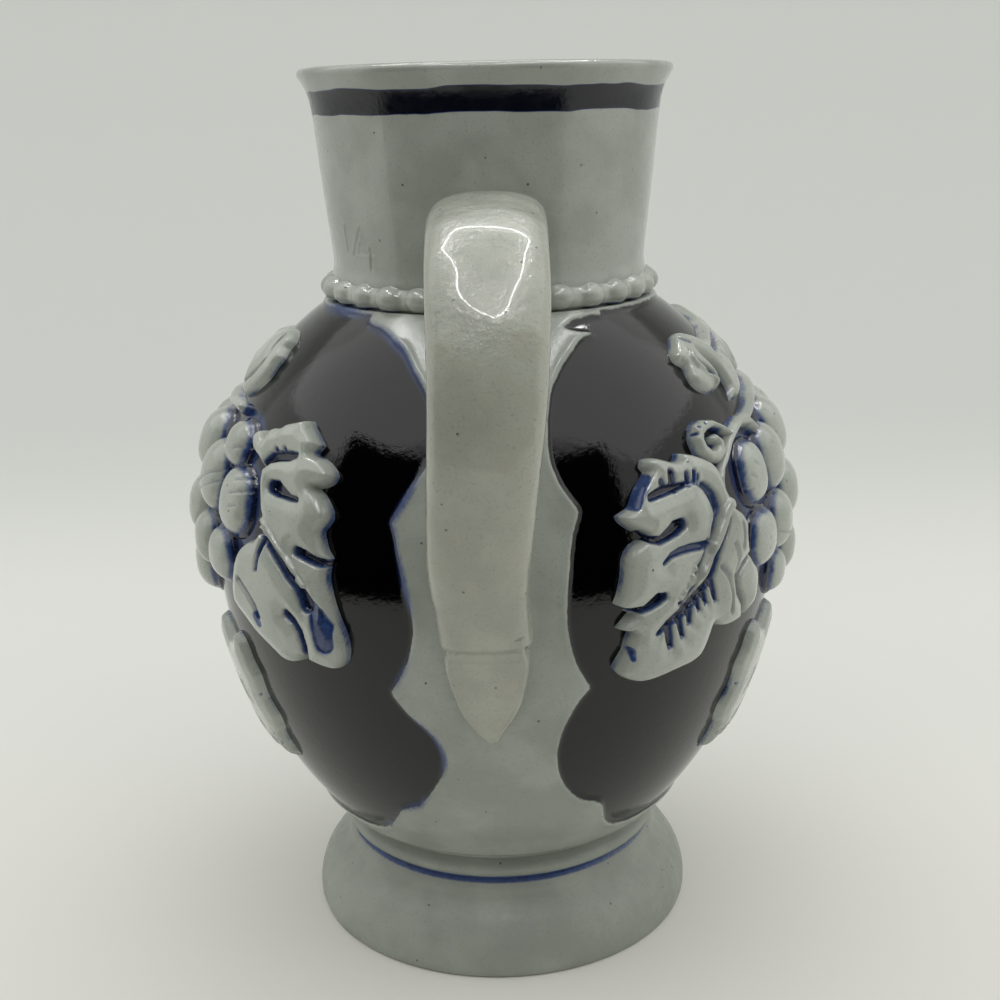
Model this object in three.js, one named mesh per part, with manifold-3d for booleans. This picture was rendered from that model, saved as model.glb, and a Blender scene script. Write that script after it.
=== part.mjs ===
// Small stoneware pitcher: a thrown foot, belly and neck, a strap handle with a pressed tongue, a collar of
// beads, and moulded vine ornaments luted on both sides of the belly.
// Millimetres, +Z up. The origin is the middle of the flat base, the handle points towards -Y and the
// pouring lip towards +Y.
import * as THREE from "three";
import { mergeVertices } from "three/addons/utils/BufferGeometryUtils.js";
import { TessellateModifier } from "three/addons/modifiers/TessellateModifier.js";
import Module from "manifold-3d";

const wasm = await Module();
wasm.setup();

// Foot
const footRadius = 28;
const footEdgeRound = 0.8;
const footEdgeHeight = 3;
const footHeight = 15.5;
const footFlareTop = 9.9;
const footCollarRadius = 23.3;
const footGrooveZ = 12.2;
const footGrooveRadius = 22.5;
const footRingZ = 13.9;
const footRingRadius = 23.5;

// Belly
const waistRadius = 22.5;
const bellyRadius = 39.8;
const bellyDrop = 43.3;
const bellyRise = 31.7;
const throatRadius = 22.5;
const wall = 4;
const floorThickness = 5;

// Neck and pouring lip
const neckHeight = 30.5;
const neckFootRadius = 21.1;
const neckNarrow = 21.3;
const neckNarrowRise = 5.5;
const neckFlareRadius = 23.2;
const neckFlareRise = 24.3;
const rimRadius = 25;
const rimRound = 1.1;
const neckWall = 3.2;
const lipReach = 4.5;
const lipRise = 0.6;
const lipHalfAngle = THREE.MathUtils.degToRad(34);
const lipStartRise = 11;

// Bead collar
const beadCount = 30;
const beadRadius = 2.35;
const beadSquash = 0.74;
const beadCircle = 21;
const beadRise = 1.95;
const beadCordRadius = 1.5;

// Handle and its tongue
const handleWidthTop = 13.7;
const handleWidthFoot = 11.8;
const handleThickness = 6.4;
const handleReach = 53.8;
const handleRootRise = 11.1;
const handleFootDrop = 3.1;
const tongueLength = 15.2;
const tongueThick = 7;
const tongueThin = 1.3;

// Moulded ornaments
const fitGap = 0.3;
const sprigThickness = 2.6;
const thinSprigThickness = 1.7;
const sprigEdge = 0.5;
const sprigSoftWidth = 3.2;
const ribRadius = 0.55;
const grapeLong = 5.1;
const grapeHigh = 4.6;
const grapeStand = 4;
const stemRadius = 1.25;
const tendrilRadius = 0.85;

const facets = 40;
const bellySteps = 6;
const beadStations = 4;
const longestSprigEdge = 8;

// Heights and circles that follow from the sizes above. The ornaments are drawn for a belly of 39.8 mm radius
// that drops 43.3 mm and rises 31.7 mm from its widest circle, and these stretch them to the belly's own sizes.
const bellyMidZ = footHeight + bellyDrop;
const bellyTopZ = bellyMidZ + bellyRise;
const rimZ = bellyTopZ + neckHeight;
const sprigArc = bellyRadius * 1.03;
const halfTurn = Math.PI * sprigArc;
const aroundScale = bellyRadius / 39.8;
const riseScale = bellyRise / 31.7;
const dropScale = bellyDrop / 43.3;

const stoneGlaze = new THREE.MeshStandardMaterial({ color: 0x9a9f97, roughness: 0.25, metalness: 0 });
const darkGlaze = new THREE.MeshStandardMaterial({ color: 0x17181d, roughness: 0.15, metalness: 0 });

// A geometry as a closed solid, for joins and cuts.
function solidOf(geometry) {
  const bare = geometry.clone();
  bare.deleteAttribute("normal");
  bare.deleteAttribute("uv");
  const merged = mergeVertices(bare, 1e-4);
  return new wasm.Manifold(
    new wasm.Mesh({
      numProp: 3,
      vertProperties: merged.attributes.position.array,
      triVerts: new Uint32Array(merged.index.array),
    }),
  );
}

function geometryOf(solid) {
  const mesh = solid.getMesh();
  return new THREE.BufferGeometry()
    .setAttribute("position", new THREE.BufferAttribute(mesh.vertProperties, 3))
    .setIndex(new THREE.BufferAttribute(mesh.triVerts, 1));
}

const joined = (solids) => solids.reduce((whole, next) => whole.add(next));
const cutBy = (solid, cutters) => cutters.reduce((left, cutter) => left.subtract(cutter), solid);

// A turned shape from a profile of [radius, height] points that runs up the outside.
function turned(profile) {
  const points = profile.map(([r, z]) => new THREE.Vector2(r, z));
  return new THREE.LatheGeometry(points, facets).rotateX(Math.PI / 2);
}

// The profile moved sideways by a distance, outwards when it is positive.
function offsetProfile(profile, distance) {
  return profile.map(([r, z], i) => {
    const [r0, z0] = profile[Math.max(i - 1, 0)];
    const [r1, z1] = profile[Math.min(i + 1, profile.length - 1)];
    const length = Math.hypot(r1 - r0, z1 - z0);
    return [r + (distance * (z1 - z0)) / length, z - (distance * (r1 - r0)) / length];
  });
}

const smooth = (t) => THREE.MathUtils.smoothstep(t, 0, 1);

// The belly is two half ellipses that share the widest circle and end on the waist and the throat.
function bellyRadiusAt(z) {
  const up = z > bellyMidZ;
  const run = up ? bellyRise : bellyDrop;
  const end = up ? throatRadius : waistRadius;
  const semiAxis = run / Math.sqrt(1 - (end / bellyRadius) ** 2);
  return bellyRadius * Math.sqrt(1 - ((z - bellyMidZ) / semiAxis) ** 2);
}

function bellyProfile(steps) {
  const at = (z) => [bellyRadiusAt(z), z];
  const low = Array.from({ length: steps }, (_, i) => at(bellyMidZ - bellyDrop * Math.cos((i / steps) * Math.PI * 0.5)));
  const high = Array.from({ length: steps }, (_, i) => at(bellyMidZ + bellyRise * Math.sin((i / steps) * Math.PI * 0.5)));
  return [...low, ...high, at(bellyTopZ)];
}

function neckProfile() {
  return new THREE.SplineCurve([
    new THREE.Vector2(neckFootRadius, bellyTopZ),
    new THREE.Vector2(neckNarrow, bellyTopZ + neckNarrowRise),
    new THREE.Vector2((neckNarrow + neckFlareRadius) / 2, bellyTopZ + (neckNarrowRise + neckFlareRise) / 2),
    new THREE.Vector2(neckFlareRadius, bellyTopZ + neckFlareRise),
    new THREE.Vector2(rimRadius, rimZ - rimRound),
  ])
    .getPoints(6)
    .map((p) => [p.x, p.y]);
}

const bellyOuter = bellyProfile(bellySteps);
const neckOuter = neckProfile();

// The outside of belly and neck with a fit gap, which cuts the seats of handle and collar.
function bodyCutter() {
  const skin = offsetProfile([...bellyOuter, ...neckOuter.slice(1)], fitGap);
  return solidOf(turned([[0, footHeight - wall], ...skin, [0, rimZ + wall]]));
}

function footGeometry() {
  const flare = new THREE.QuadraticBezierCurve(
    new THREE.Vector2(footRadius, footEdgeHeight),
    new THREE.Vector2(footRadius - 1.4, (footEdgeHeight + footFlareTop) * 0.56),
    new THREE.Vector2(footCollarRadius, footFlareTop),
  );
  const ringTop = footHeight - 0.8;
  return turned([
    [0, 0],
    [footRadius - footEdgeRound, 0],
    [footRadius, footEdgeRound],
    ...flare.getPoints(4).map((p) => [p.x, p.y]),
    [footCollarRadius, footFlareTop + 0.8],
    [footGrooveRadius, footGrooveZ - 0.4],
    [footGrooveRadius, footGrooveZ + 0.3],
    [footRingRadius, footRingZ - 0.5],
    [footRingRadius, footRingZ + 0.3],
    [waistRadius + 0.5, ringTop],
    [waistRadius, footHeight],
    [0, footHeight],
  ]);
}

function bellyGeometry() {
  const floorZ = footHeight + floorThickness;
  const inner = offsetProfile(bellyOuter, -wall)
    .filter(([, z]) => z > floorZ + 1 && z < bellyTopZ - wall * 0.9)
    .reverse();
  const floorCorner = bellyRadiusAt(floorZ) - wall - 3;
  return turned([[0, footHeight], ...bellyOuter, [throatRadius - wall, bellyTopZ], ...inner, [floorCorner, floorZ], [0, floorZ]]);
}

// Pulls the neck out into the pouring lip, most at the rim and in the middle of the lip.
function pullLip(geometry) {
  const position = geometry.attributes.position;
  const startZ = bellyTopZ + lipStartRise;
  for (let i = 0; i < position.count; i++) {
    const x = position.getX(i);
    const y = position.getY(i);
    const z = position.getZ(i);
    const around = smooth(1 - Math.abs(Math.atan2(x, y)) / lipHalfAngle);
    const pull = around * Math.max(0, (z - startZ) / (rimZ - startZ)) ** 2;
    const stretch = 1 + (lipReach * pull) / Math.hypot(x, y);
    position.setXYZ(i, x * stretch, y * stretch, z + lipRise * pull);
  }
  return geometry;
}

function neckGeometry() {
  const rimSteps = [0.25, 0.6, 1].map((t) => {
    const turn = t * Math.PI;
    return [rimRadius - rimRound + rimRound * Math.cos(turn), rimZ - rimRound + rimRound * Math.sin(turn)];
  });
  const bore = neckOuter
    .slice(1, -1)
    .map(([r, z]) => [r - neckWall + (neckWall - 2 * rimRound) * smooth((z - rimZ + 8) / 8), z])
    .filter((_, i) => i % 2 === 0)
    .reverse();
  const seat = [throatRadius - wall, bellyTopZ];
  return pullLip(turned([...neckOuter, ...rimSteps, ...bore, seat, neckOuter[0]]));
}

// The outside of belly and neck as a radius at a height.
function skinRadiusAt(z) {
  if (z < bellyTopZ) return bellyRadiusAt(z);
  const above = Math.max(1, neckOuter.findIndex(([, height]) => height >= z));
  const [r0, z0] = neckOuter[above - 1];
  const [r1, z1] = neckOuter[above];
  return THREE.MathUtils.mapLinear(z, z0, z1, r0, r1);
}

// A ring of beads that swell out of one cord, on the belly's shoulder round the foot of the neck.
function collarGeometry() {
  const beadZ = bellyTopZ + beadRise;
  const stations = beadCount * beadStations;
  const sectionTurns = [-70, -35, 0, 35, 70, 105, 200].map(THREE.MathUtils.degToRad);
  const rings = Array.from({ length: stations }, (_, i) => {
    const turn = (i / stations) * Math.PI * 2;
    const swell = Math.sin(((i % beadStations) / beadStations) * Math.PI) ** 0.7;
    const radius = beadCordRadius + (beadRadius - beadCordRadius) * swell;
    return sectionTurns.map((sectionTurn) => {
      const z = beadZ + radius * beadSquash * Math.sin(sectionTurn);
      const r = Math.max(beadCircle + radius * Math.cos(sectionTurn), skinRadiusAt(z) + fitGap * 1.5);
      return new THREE.Vector3(r * Math.cos(turn), r * Math.sin(turn), z);
    });
  });
  return ringed(rings);
}

// A closed skin round a loop of rings, each with the same number of points.
function ringed(rings) {
  const count = rings[0].length;
  const triangles = rings.flatMap((_, i) => {
    const here = i * count;
    const next = ((i + 1) % rings.length) * count;
    return rings[i].flatMap((_, j) => {
      const k = (j + 1) % count;
      return [here + j, next + j, next + k, here + j, next + k, here + k];
    });
  });
  return new THREE.BufferGeometry().setFromPoints(rings.flat()).setIndex(triangles);
}

// A closed skin over rings of points, each ring with the same number of points.
function lofted(rings) {
  const count = rings[0].length;
  const middle = (ring) => ring.reduce((sum, p) => sum.add(p), new THREE.Vector3()).divideScalar(count);
  const points = [...rings.flat(), middle(rings[0]), middle(rings.at(-1))];
  const triangles = [];
  for (let j = 0; j < count; j++) {
    const k = (j + 1) % count;
    for (let i = 0; i + 1 < rings.length; i++) {
      const here = i * count;
      const next = here + count;
      triangles.push(here + j, next + k, here + k, here + j, next + j, next + k);
    }
    const last = (rings.length - 1) * count;
    triangles.push(points.length - 2, j, k, points.length - 1, last + k, last + j);
  }
  return new THREE.BufferGeometry().setFromPoints(points).setIndex(triangles);
}

// The handle's centre line: out of the neck, over the arch and down to the belly.
function handlePath() {
  const rootZ = bellyTopZ + handleRootRise;
  const footZ = bellyMidZ - handleFootDrop;
  const archZ = rootZ + 1.6;
  const drop = archZ - footZ;
  const shoulder = neckNarrow + (handleReach - neckNarrow) * 0.62;
  const line = [
    [neckNarrow - 1, rootZ],
    [neckNarrow + 9, archZ],
    [shoulder, archZ - 0.9],
    [handleReach - 4.6, archZ - 5.6],
    [handleReach, archZ - drop * 0.3],
    [handleReach, archZ - drop * 0.51],
    [handleReach - 3.4, archZ - drop * 0.73],
    [bellyRadius + 5.8, footZ + 4.2],
    [bellyRadius + 1.8, footZ - 3],
  ];
  return new THREE.CatmullRomCurve3(line.map(([r, z]) => new THREE.Vector3(0, -r, z)), false, "centripetal");
}

// A strap section: flat faces, round edges.
function strapRing(centre, along, width) {
  const sides = 12;
  const across = new THREE.Vector3(1, 0, 0);
  const outward = new THREE.Vector3().crossVectors(across, along).normalize();
  return Array.from({ length: sides }, (_, i) => {
    const turn = (i / sides) * Math.PI * 2;
    const squared = (value) => Math.sign(value) * Math.abs(value) ** 0.55;
    return centre
      .clone()
      .addScaledVector(across, (squared(Math.cos(turn)) * width) / 2)
      .addScaledVector(outward, (squared(Math.sin(turn)) * handleThickness) / 2);
  });
}

function handleGeometry(cutter) {
  const path = handlePath();
  const steps = 24;
  const rings = Array.from({ length: steps + 1 }, (_, i) => {
    const t = i / steps;
    const width = THREE.MathUtils.lerp(handleWidthTop, handleWidthFoot, t);
    return strapRing(path.getPointAt(t), path.getTangentAt(t), width);
  });
  const seatZ = bellyMidZ - handleFootDrop + fitGap;
  const below = new THREE.BoxGeometry(4 * bellyRadius, 4 * bellyRadius, seatZ).translate(0, 0, seatZ / 2);
  return geometryOf(cutBy(solidOf(lofted(rings)), [cutter, solidOf(below)]));
}

// Flat solids for the ornaments lie in a plane of u along the belly, v up from its widest circle, and h off
// the clay. bendOntoBelly then lays them round the belly, so each keeps its fit gap over its whole seat.
const outlineShape = (outline) => new THREE.Shape(outline.map(([u, v]) => new THREE.Vector2(u, v)));

function plate(outline, thickness) {
  const solid = new THREE.ExtrudeGeometry(outlineShape(outline), { depth: thickness, bevelEnabled: false });
  return solidOf(solid.translate(0, 0, fitGap));
}

function cord(points, radius, height) {
  const path = new THREE.CatmullRomCurve3(points.map(([u, v]) => new THREE.Vector3(u, v, height)));
  const section = new THREE.Shape().absarc(0, 0, radius, 0, Math.PI * 2);
  const options = { steps: Math.round(points.length * 1.7), bevelEnabled: false, extrudePath: path, curveSegments: 3 };
  return solidOf(new THREE.ExtrudeGeometry(section, options));
}

// An open slot that leaves a stem its fit gap in the pieces that it crosses.
function slotFor(points, radius, height) {
  const rises = [0, 1, 2, 3].map((i) => i * radius);
  return joined(rises.map((rise) => cord(points, radius + fitGap * 1.3, height + rise)));
}

// The room that a neighbour's outline needs: its plate moved by the fit gap all round.
function clearanceOf(outline) {
  const turns = [0, 1, 2, 3, 4, 5, 6, 7].map((i) => (i / 8) * Math.PI * 2);
  const depth = 4 * sprigThickness;
  return joined(
    turns.map((turn) => {
      const moved = new THREE.ExtrudeGeometry(outlineShape(outline), { depth, bevelEnabled: false });
      return solidOf(moved.translate(fitGap * 1.1 * Math.cos(turn), fitGap * 1.1 * Math.sin(turn), -1));
    }),
  );
}

function underside() {
  const size = 4 * halfTurn;
  return solidOf(new THREE.BoxGeometry(size, size, size).translate(0, 0, fitGap - size / 2));
}

function distanceToOutline(u, v, outline) {
  const point = new THREE.Vector3(u, v, 0);
  const nearest = new THREE.Vector3();
  const gaps = outline.map(([u0, v0], i) => {
    const [u1, v1] = outline[(i + 1) % outline.length];
    const edge = new THREE.Line3(new THREE.Vector3(u0, v0, 0), new THREE.Vector3(u1, v1, 0));
    return edge.closestPointToPoint(point, true, nearest).distanceTo(point);
  });
  return Math.min(...gaps);
}

// Softens a plate towards its outline, so the ornament rises from a thin edge.
const softEdge = (outline) => (u, v) =>
  sprigEdge + (1 - sprigEdge) * smooth(distanceToOutline(u, v, outline) / sprigSoftWidth);

function bendOntoBelly(solid, crown, side) {
  const fine = new TessellateModifier(longestSprigEdge, 12).modify(geometryOf(solid));
  fine.deleteAttribute("normal");
  const bent = mergeVertices(fine, 1e-4);
  const position = bent.attributes.position;
  const probe = 0.01;
  for (let i = 0; i < position.count; i++) {
    const u = position.getX(i);
    const z = bellyMidZ + position.getY(i);
    const h = fitGap + (position.getZ(i) - fitGap) * crown(u, position.getY(i));
    const slope = (bellyRadiusAt(z + probe) - bellyRadiusAt(z - probe)) / (2 * probe);
    const lean = Math.hypot(1, slope);
    const r = bellyRadiusAt(z) + h / lean;
    const turn = u / sprigArc + side * Math.PI;
    position.setXYZ(i, r * Math.sin(turn), -r * Math.cos(turn), z - (h * slope) / lean);
  }
  return bent;
}

// Outlines in the flat. u runs from the handle round to the pouring lip, which is half a turn on.
const toBelly = ([u, v]) => [u * aroundScale, v * (v > 0 ? riseScale : dropScale)];
const halfTurnDrawn = halfTurn / aroundScale;
const fromLip = ([u, v]) => [halfTurnDrawn - u, v];
const handleLeafOutline = [
  [20.4, 15.5], [22.9, 15.8], [25.7, 15], [26.9, 15.9], [29.6, 15.1], [31.8, 13.9], [33.9, 11.2], [35.7, 8.1],
  [38, 5.6], [36.6, 2.8], [37.2, 0.4], [36.1, -3.8], [36.8, -6.6], [33.6, -7.2], [30.6, -5.6], [28.6, -7.2],
  [26.8, -9.5], [24.3, -10.6], [20, -10.9], [16.1, -10.2], [14.6, -8.8], [16.2, -5.4], [15, -3.5], [20.6, -0.8],
  [14.6, -1.5], [15.6, 1.9], [16.1, 5.8], [18.2, 7.2], [23.4, 7.9], [16.6, 8.2], [15.4, 9.9], [18.7, 13],
].map(toBelly);
const lipLeafSeen = [
  [37.2, 17.2], [35.8, 17.8], [34.6, 18.6], [32.5, 19.3], [30, 19.8], [28.3, 19.8], [26.6, 17.9], [25.4, 16.4],
  [21.8, 14.4], [24.2, 12.3], [22, 11], [21.3, 8.9], [22.4, 6.2], [26, 4.8], [20.6, 3.7], [21.3, 1.2], [19.4, -5],
  [19.9, -8.4], [24.6, -9.2], [26.8, -5], [27.9, -10.2], [31, -10.5], [34.3, -9.8], [36.4, -8.2], [39.6, -6],
  [41.2, -3], [40.8, 0], [39.4, 2.6], [37.4, 4.8], [34.2, 5.8], [32.8, 8.2], [33.8, 10.4], [34.8, 12.6], [35.8, 14.8],
];
const lipLeafOutline = lipLeafSeen.map(fromLip).map(toBelly).reverse();
const bunchOutline = [
  [36.4, 8], [37, 11.6], [41.6, 14.8], [52, 16.2], [68, 16.6], [82, 17.2], [89.4, 15.6], [93.2, 11.6], [92.6, 5.6],
  [86.4, -1.6], [78.6, -2.4], [69.4, -8.4], [60.4, -7], [52, -8], [44, -1.6], [38.6, 0],
].map(toBelly);

// The leaf above the grapes runs along under the beads and curls over at both ends.
const topLeafMiddle = halfTurnDrawn * 0.47;
const topLeafHalf = [
  [0, 20.8], [3.6, 22.8], [6.8, 20.8], [9.6, 22.6], [13, 20.6], [17, 20.5], [21.4, 20.8], [24.8, 22.2], [26, 24.6],
  [24.6, 26.8], [18.4, 27.6], [9, 27.8],
];
const topLeafOutline = mirroredAbout(topLeafMiddle, topLeafHalf, [0, 28]).map(toBelly);

// The leaf below the grapes hangs with its tip down.
const lowLeafHalf = [
  [0, -31.4], [3, -28], [8.4, -31], [10.6, -26.6], [17, -30.2], [18.8, -26.2], [25.6, -28.6], [24.4, -24.6],
  [25.4, -21.4], [23.8, -17.4], [22.6, -14], [19.6, -10.4], [15.2, -12.6], [10.6, -10.4], [4.4, -12.6],
];
const lowLeafOutline = mirroredAbout(halfTurnDrawn / 2, lowLeafHalf, [0, -14.4]).map(toBelly);

// Half an outline, from its lowest point up, with the top point between it and its mirror image.
function mirroredAbout(middle, half, top) {
  const mirrored = half.slice(1).map(([u, v]) => [-u, v]).reverse();
  return [...half, top, ...mirrored].map(([u, v]) => [middle + u, v]);
}

const stemPath = [
  [32.8, 8], [33.2, 11], [35, 14], [38.2, 16.3], [44, 17.9], [54, 18.4], [64, 18.8], [72, 18.5], [80, 18.9],
].map(toBelly);
const handleLeafRibs = [
  [[32.6, 6.4], [30.4, 4.6], [27, 1.2], [23.6, -2.4], [20.4, -4.8]],
  [[28, 3], [24.4, 4.4], [20.4, 4.4]],
  [[30.6, 6.6], [28, 10.2], [23.4, 12.4]],
  [[28.8, 2.8], [31.6, -0.6], [33.4, -3.6]],
  [[24.4, -1.4], [24.6, -4.6], [22.8, -7.8]],
].map((rib) => rib.map(toBelly));
const lipLeafRibs = [
  [[34.6, 7], [30.1, 3.3], [26.8, -0.6], [24, -4.5]],
  [[31.6, 4.6], [27.6, 8.6], [24.4, 10.2]],
  [[33.8, 9.4], [31.6, 14], [27.6, 16.2]],
  [[30.6, 3.6], [32.4, -0.8], [33.2, -5.2]],
  [[34.2, 6], [37, 2], [38.2, -3]],
].map((rib) => rib.map(fromLip).map(toBelly));
const lowLeafRibs = [-20, -11, 0, 11, 20].map((reach) =>
  [[0, -14], [reach * 0.5, -18.6 - 3 * (1 - Math.abs(reach) / 20)], [reach, -22 - 6 * (1 - Math.abs(reach) / 20)]]
    .map(([u, v]) => toBelly([halfTurnDrawn / 2 + u, v])),
);
const topLeafRibs = [
  [[-15, 22.8], [-8, 24.2], [0, 24.8], [8, 24.2], [15, 22.8]],
  [[-4, 24.4], [-6.8, 21.6]],
  [[4, 24.4], [6.8, 21.6]],
].map((rib) => rib.map(([u, v]) => toBelly([topLeafMiddle + u, v])));
const curlHollows = [-18.6, 18.6].map((u) => toBelly([topLeafMiddle + u, 23.8]));

// The tendril leaves the stem and curls inwards for one turn and a half.
function tendrilPath() {
  const [middleU, middleV] = [32.4, 16.4];
  const turns = 1.45;
  const steps = 11;
  const widest = 3.5;
  const tightest = 1;
  const curl = Array.from({ length: steps + 1 }, (_, i) => {
    const t = i / steps;
    const turn = Math.PI * (0.28 + 2 * turns * t);
    const reach = THREE.MathUtils.lerp(widest, tightest, t);
    return [middleU + reach * 1.05 * Math.cos(turn), middleV + reach * Math.sin(turn)];
  });
  return [[38.3, 18.6], [36.6, 19.8], ...curl].map(toBelly);
}

const grapeMiddles = [
  [41.3, 10.4], [42.2, 2.4], [50.4, 11.6], [50.8, 3.4], [50.6, -4.2], [59.6, 12.6], [60, 4.6], [60.4, -3.8],
  [69, 12.2], [69.2, 3.8], [68.4, -4.6], [77.6, 11], [77.2, 2.4], [85.2, 13.2], [88, 7.6], [84.4, 1.6],
].map(toBelly);

function leafSolid(outline, ribs, neighbours, thickness = sprigThickness) {
  const height = fitGap + thickness;
  const ribbed = joined([plate(outline, thickness), ...ribs.map((rib) => cord(rib, ribRadius, height))]);
  return cutBy(ribbed, neighbours);
}

// A shallow bowl that the curled end of a leaf closes round.
function curlHollow([u, v]) {
  const [long, high, deep] = [4.8, 2, thinSprigThickness * 0.7];
  const bowl = new THREE.SphereGeometry(1, 8, 4).rotateX(Math.PI / 2).scale(long, high, deep);
  return solidOf(bowl.translate(u, v, fitGap + thinSprigThickness + 0.1));
}

function bunchSolid(neighbours) {
  const grapes = grapeMiddles.map(([u, v]) =>
    solidOf(
      new THREE.SphereGeometry(1, 8, 4)
        .rotateX(Math.PI / 2)
        .scale(grapeLong, grapeHigh, grapeStand)
        .translate(u, v, fitGap + 0.1),
    ),
  );
  return cutBy(joined([plate(bunchOutline, sprigThickness * 0.6), ...grapes]), [...neighbours, underside()]);
}

// The tongue stands off the belly, where the same turn reaches wider, so it is drawn narrower in the flat.
function tongueOutline() {
  const half = (handleWidthFoot / 2) * (sprigArc / (bellyRadius + tongueThick));
  const top = -handleFootDrop;
  const cheek = [[half, 0], [half - 0.2, 0.4], [half * 0.76, 0.66], [half * 0.34, 0.92]];
  const right = cheek.map(([u, share]) => [u, top - share * tongueLength]);
  const left = right.map(([u, v]) => [-u, v]);
  return [...left, [0, top - tongueLength], ...right.reverse()];
}

function tongueGeometry() {
  const outline = tongueOutline();
  const thin = tongueThin / tongueThick;
  const wedge = (u, v) => THREE.MathUtils.mapLinear(v, -handleFootDrop - tongueLength, -handleFootDrop, thin, 1);
  return bendOntoBelly(plate(outline, tongueThick), wedge, 0);
}

const pitcher = new THREE.Group();

function addPiece(name, geometry, material) {
  const mesh = new THREE.Mesh(geometry, material.clone());
  mesh.name = name;
  pitcher.add(mesh);
}

const cutter = bodyCutter();
addPiece("foot", footGeometry(), stoneGlaze);
addPiece("belly", bellyGeometry(), darkGlaze);
addPiece("neck", neckGeometry(), stoneGlaze);
addPiece("bead_collar", collarGeometry(), stoneGlaze);
addPiece("handle", handleGeometry(cutter), stoneGlaze);
addPiece("handle_tongue", tongueGeometry(), stoneGlaze);

// Both halves carry the same ornament, turned half a turn about the pitcher's axis.
const curl = tendrilPath();
const stemHeight = fitGap + stemRadius * 0.5;
const tendrilHeight = fitGap + tendrilRadius * 0.5;
const even = () => 1;
const stemRoom = slotFor(stemPath, stemRadius, stemHeight);
const curlRoom = slotFor(curl, tendrilRadius, tendrilHeight);
const leafRoom = [clearanceOf(handleLeafOutline), clearanceOf(lipLeafOutline)];
const topLeafRoom = [stemRoom, ...curlHollows.map(curlHollow)];
const ornaments = {
  grape_bunch: [bunchSolid([...leafRoom, stemRoom]), even],
  handle_side_leaf: [leafSolid(handleLeafOutline, handleLeafRibs, [stemRoom, curlRoom]), softEdge(handleLeafOutline)],
  lip_side_leaf: [leafSolid(lipLeafOutline, lipLeafRibs, [stemRoom]), softEdge(lipLeafOutline)],
  top_leaf: [leafSolid(topLeafOutline, topLeafRibs, topLeafRoom, thinSprigThickness), softEdge(topLeafOutline)],
  low_leaf: [leafSolid(lowLeafOutline, lowLeafRibs, [], thinSprigThickness), softEdge(lowLeafOutline)],
  vine_stem: [cutBy(cord(stemPath, stemRadius, stemHeight), [underside()]), even],
  tendril: [cutBy(cord(curl, tendrilRadius, tendrilHeight), [underside(), stemRoom]), even],
};
["right", "left"].forEach((side, half) => {
  for (const [name, [solid, crown]] of Object.entries(ornaments))
    addPiece(`${side}_${name}`, bendOntoBelly(solid, crown, half), stoneGlaze);
});

export default pitcher;
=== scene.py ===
# Small stoneware pitcher with moulded vine relief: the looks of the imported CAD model.
# Sizes are in millimetres and MM turns them into Blender's metres. +Z is up, the handle points to -Y.
# On the belly a place is (u, z): u is the way round from the handle towards +X, z the height.
import bpy
import math
import numpy as np
from mathutils import Matrix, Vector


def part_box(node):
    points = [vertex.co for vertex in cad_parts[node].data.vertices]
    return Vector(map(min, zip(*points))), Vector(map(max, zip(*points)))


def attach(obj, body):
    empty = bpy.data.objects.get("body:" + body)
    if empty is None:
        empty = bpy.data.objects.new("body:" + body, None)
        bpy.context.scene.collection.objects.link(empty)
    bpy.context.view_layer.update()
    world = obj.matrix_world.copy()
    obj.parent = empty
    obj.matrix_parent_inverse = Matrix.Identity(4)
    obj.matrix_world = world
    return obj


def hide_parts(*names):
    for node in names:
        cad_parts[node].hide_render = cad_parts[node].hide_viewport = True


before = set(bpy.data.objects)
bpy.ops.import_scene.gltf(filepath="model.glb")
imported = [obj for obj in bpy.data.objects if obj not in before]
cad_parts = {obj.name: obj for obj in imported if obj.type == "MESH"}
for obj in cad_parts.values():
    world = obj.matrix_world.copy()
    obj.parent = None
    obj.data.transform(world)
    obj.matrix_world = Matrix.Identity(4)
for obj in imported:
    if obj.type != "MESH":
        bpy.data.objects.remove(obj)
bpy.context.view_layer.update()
bpy.ops.object.select_all(action="DESELECT")

MM = 0.001


def node_box(node):
    low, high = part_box(node)
    return np.array(low) / MM, np.array(high) / MM


# Main sizes, read from the frame
FOOT_RADIUS = node_box("foot")[1][0]
FOOT_TOP = node_box("foot")[1][2]
BELLY_RADIUS = node_box("belly")[1][0]
BELLY_TOP = node_box("belly")[1][2]
RIM_RADIUS = node_box("neck")[1][0]
BELLY_MID = 58.8
WAIST_RADIUS = 22.5
THROAT_RADIUS = 22.5
RIM_TOP = 121.0
WALL = 4.0
FLOOR = 5.0
SPRIG_ARC = BELLY_RADIUS * 1.03
HALF_TURN = math.pi * SPRIG_ARC
RELIEF = 2.6
SUNK = 0.5
OVERHANG = 0.45


# Small helpers for shapes

def smooth(t):
    t = np.clip(t, 0, 1)
    return t * t * (3 - 2 * t)


def curve_through(points, spacing=0.5):
    """A smooth line through the points. A third value of 0 marks a sharp corner."""
    runs, run = [], []
    for point in points:
        run.append(np.array(point[:2], float))
        if len(point) == 3 and len(run) > 1:
            runs.append(run)
            run = [run[-1]]
    runs.append(run)
    line = []
    for run in runs:
        for i in range(len(run) - 1):
            before, here, there, after = (run[min(max(i + k, 0), len(run) - 1)] for k in (-1, 0, 1, 2))
            count = max(1, int(np.linalg.norm(there - here) / spacing))
            for t in np.arange(count) / count:
                line.append(0.5 * (2 * here + (there - before) * t
                                   + (2 * before - 5 * here + 4 * there - after) * t * t
                                   + (3 * here - before - 3 * there + after) * t ** 3))
    line.append(runs[-1][-1])
    return np.array(line)


def closed_outline(points, spacing=0.5):
    """The same for an outline that closes on its first point, which is a sharp corner."""
    return curve_through([*points, points[0]], spacing)[:-1]


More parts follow.
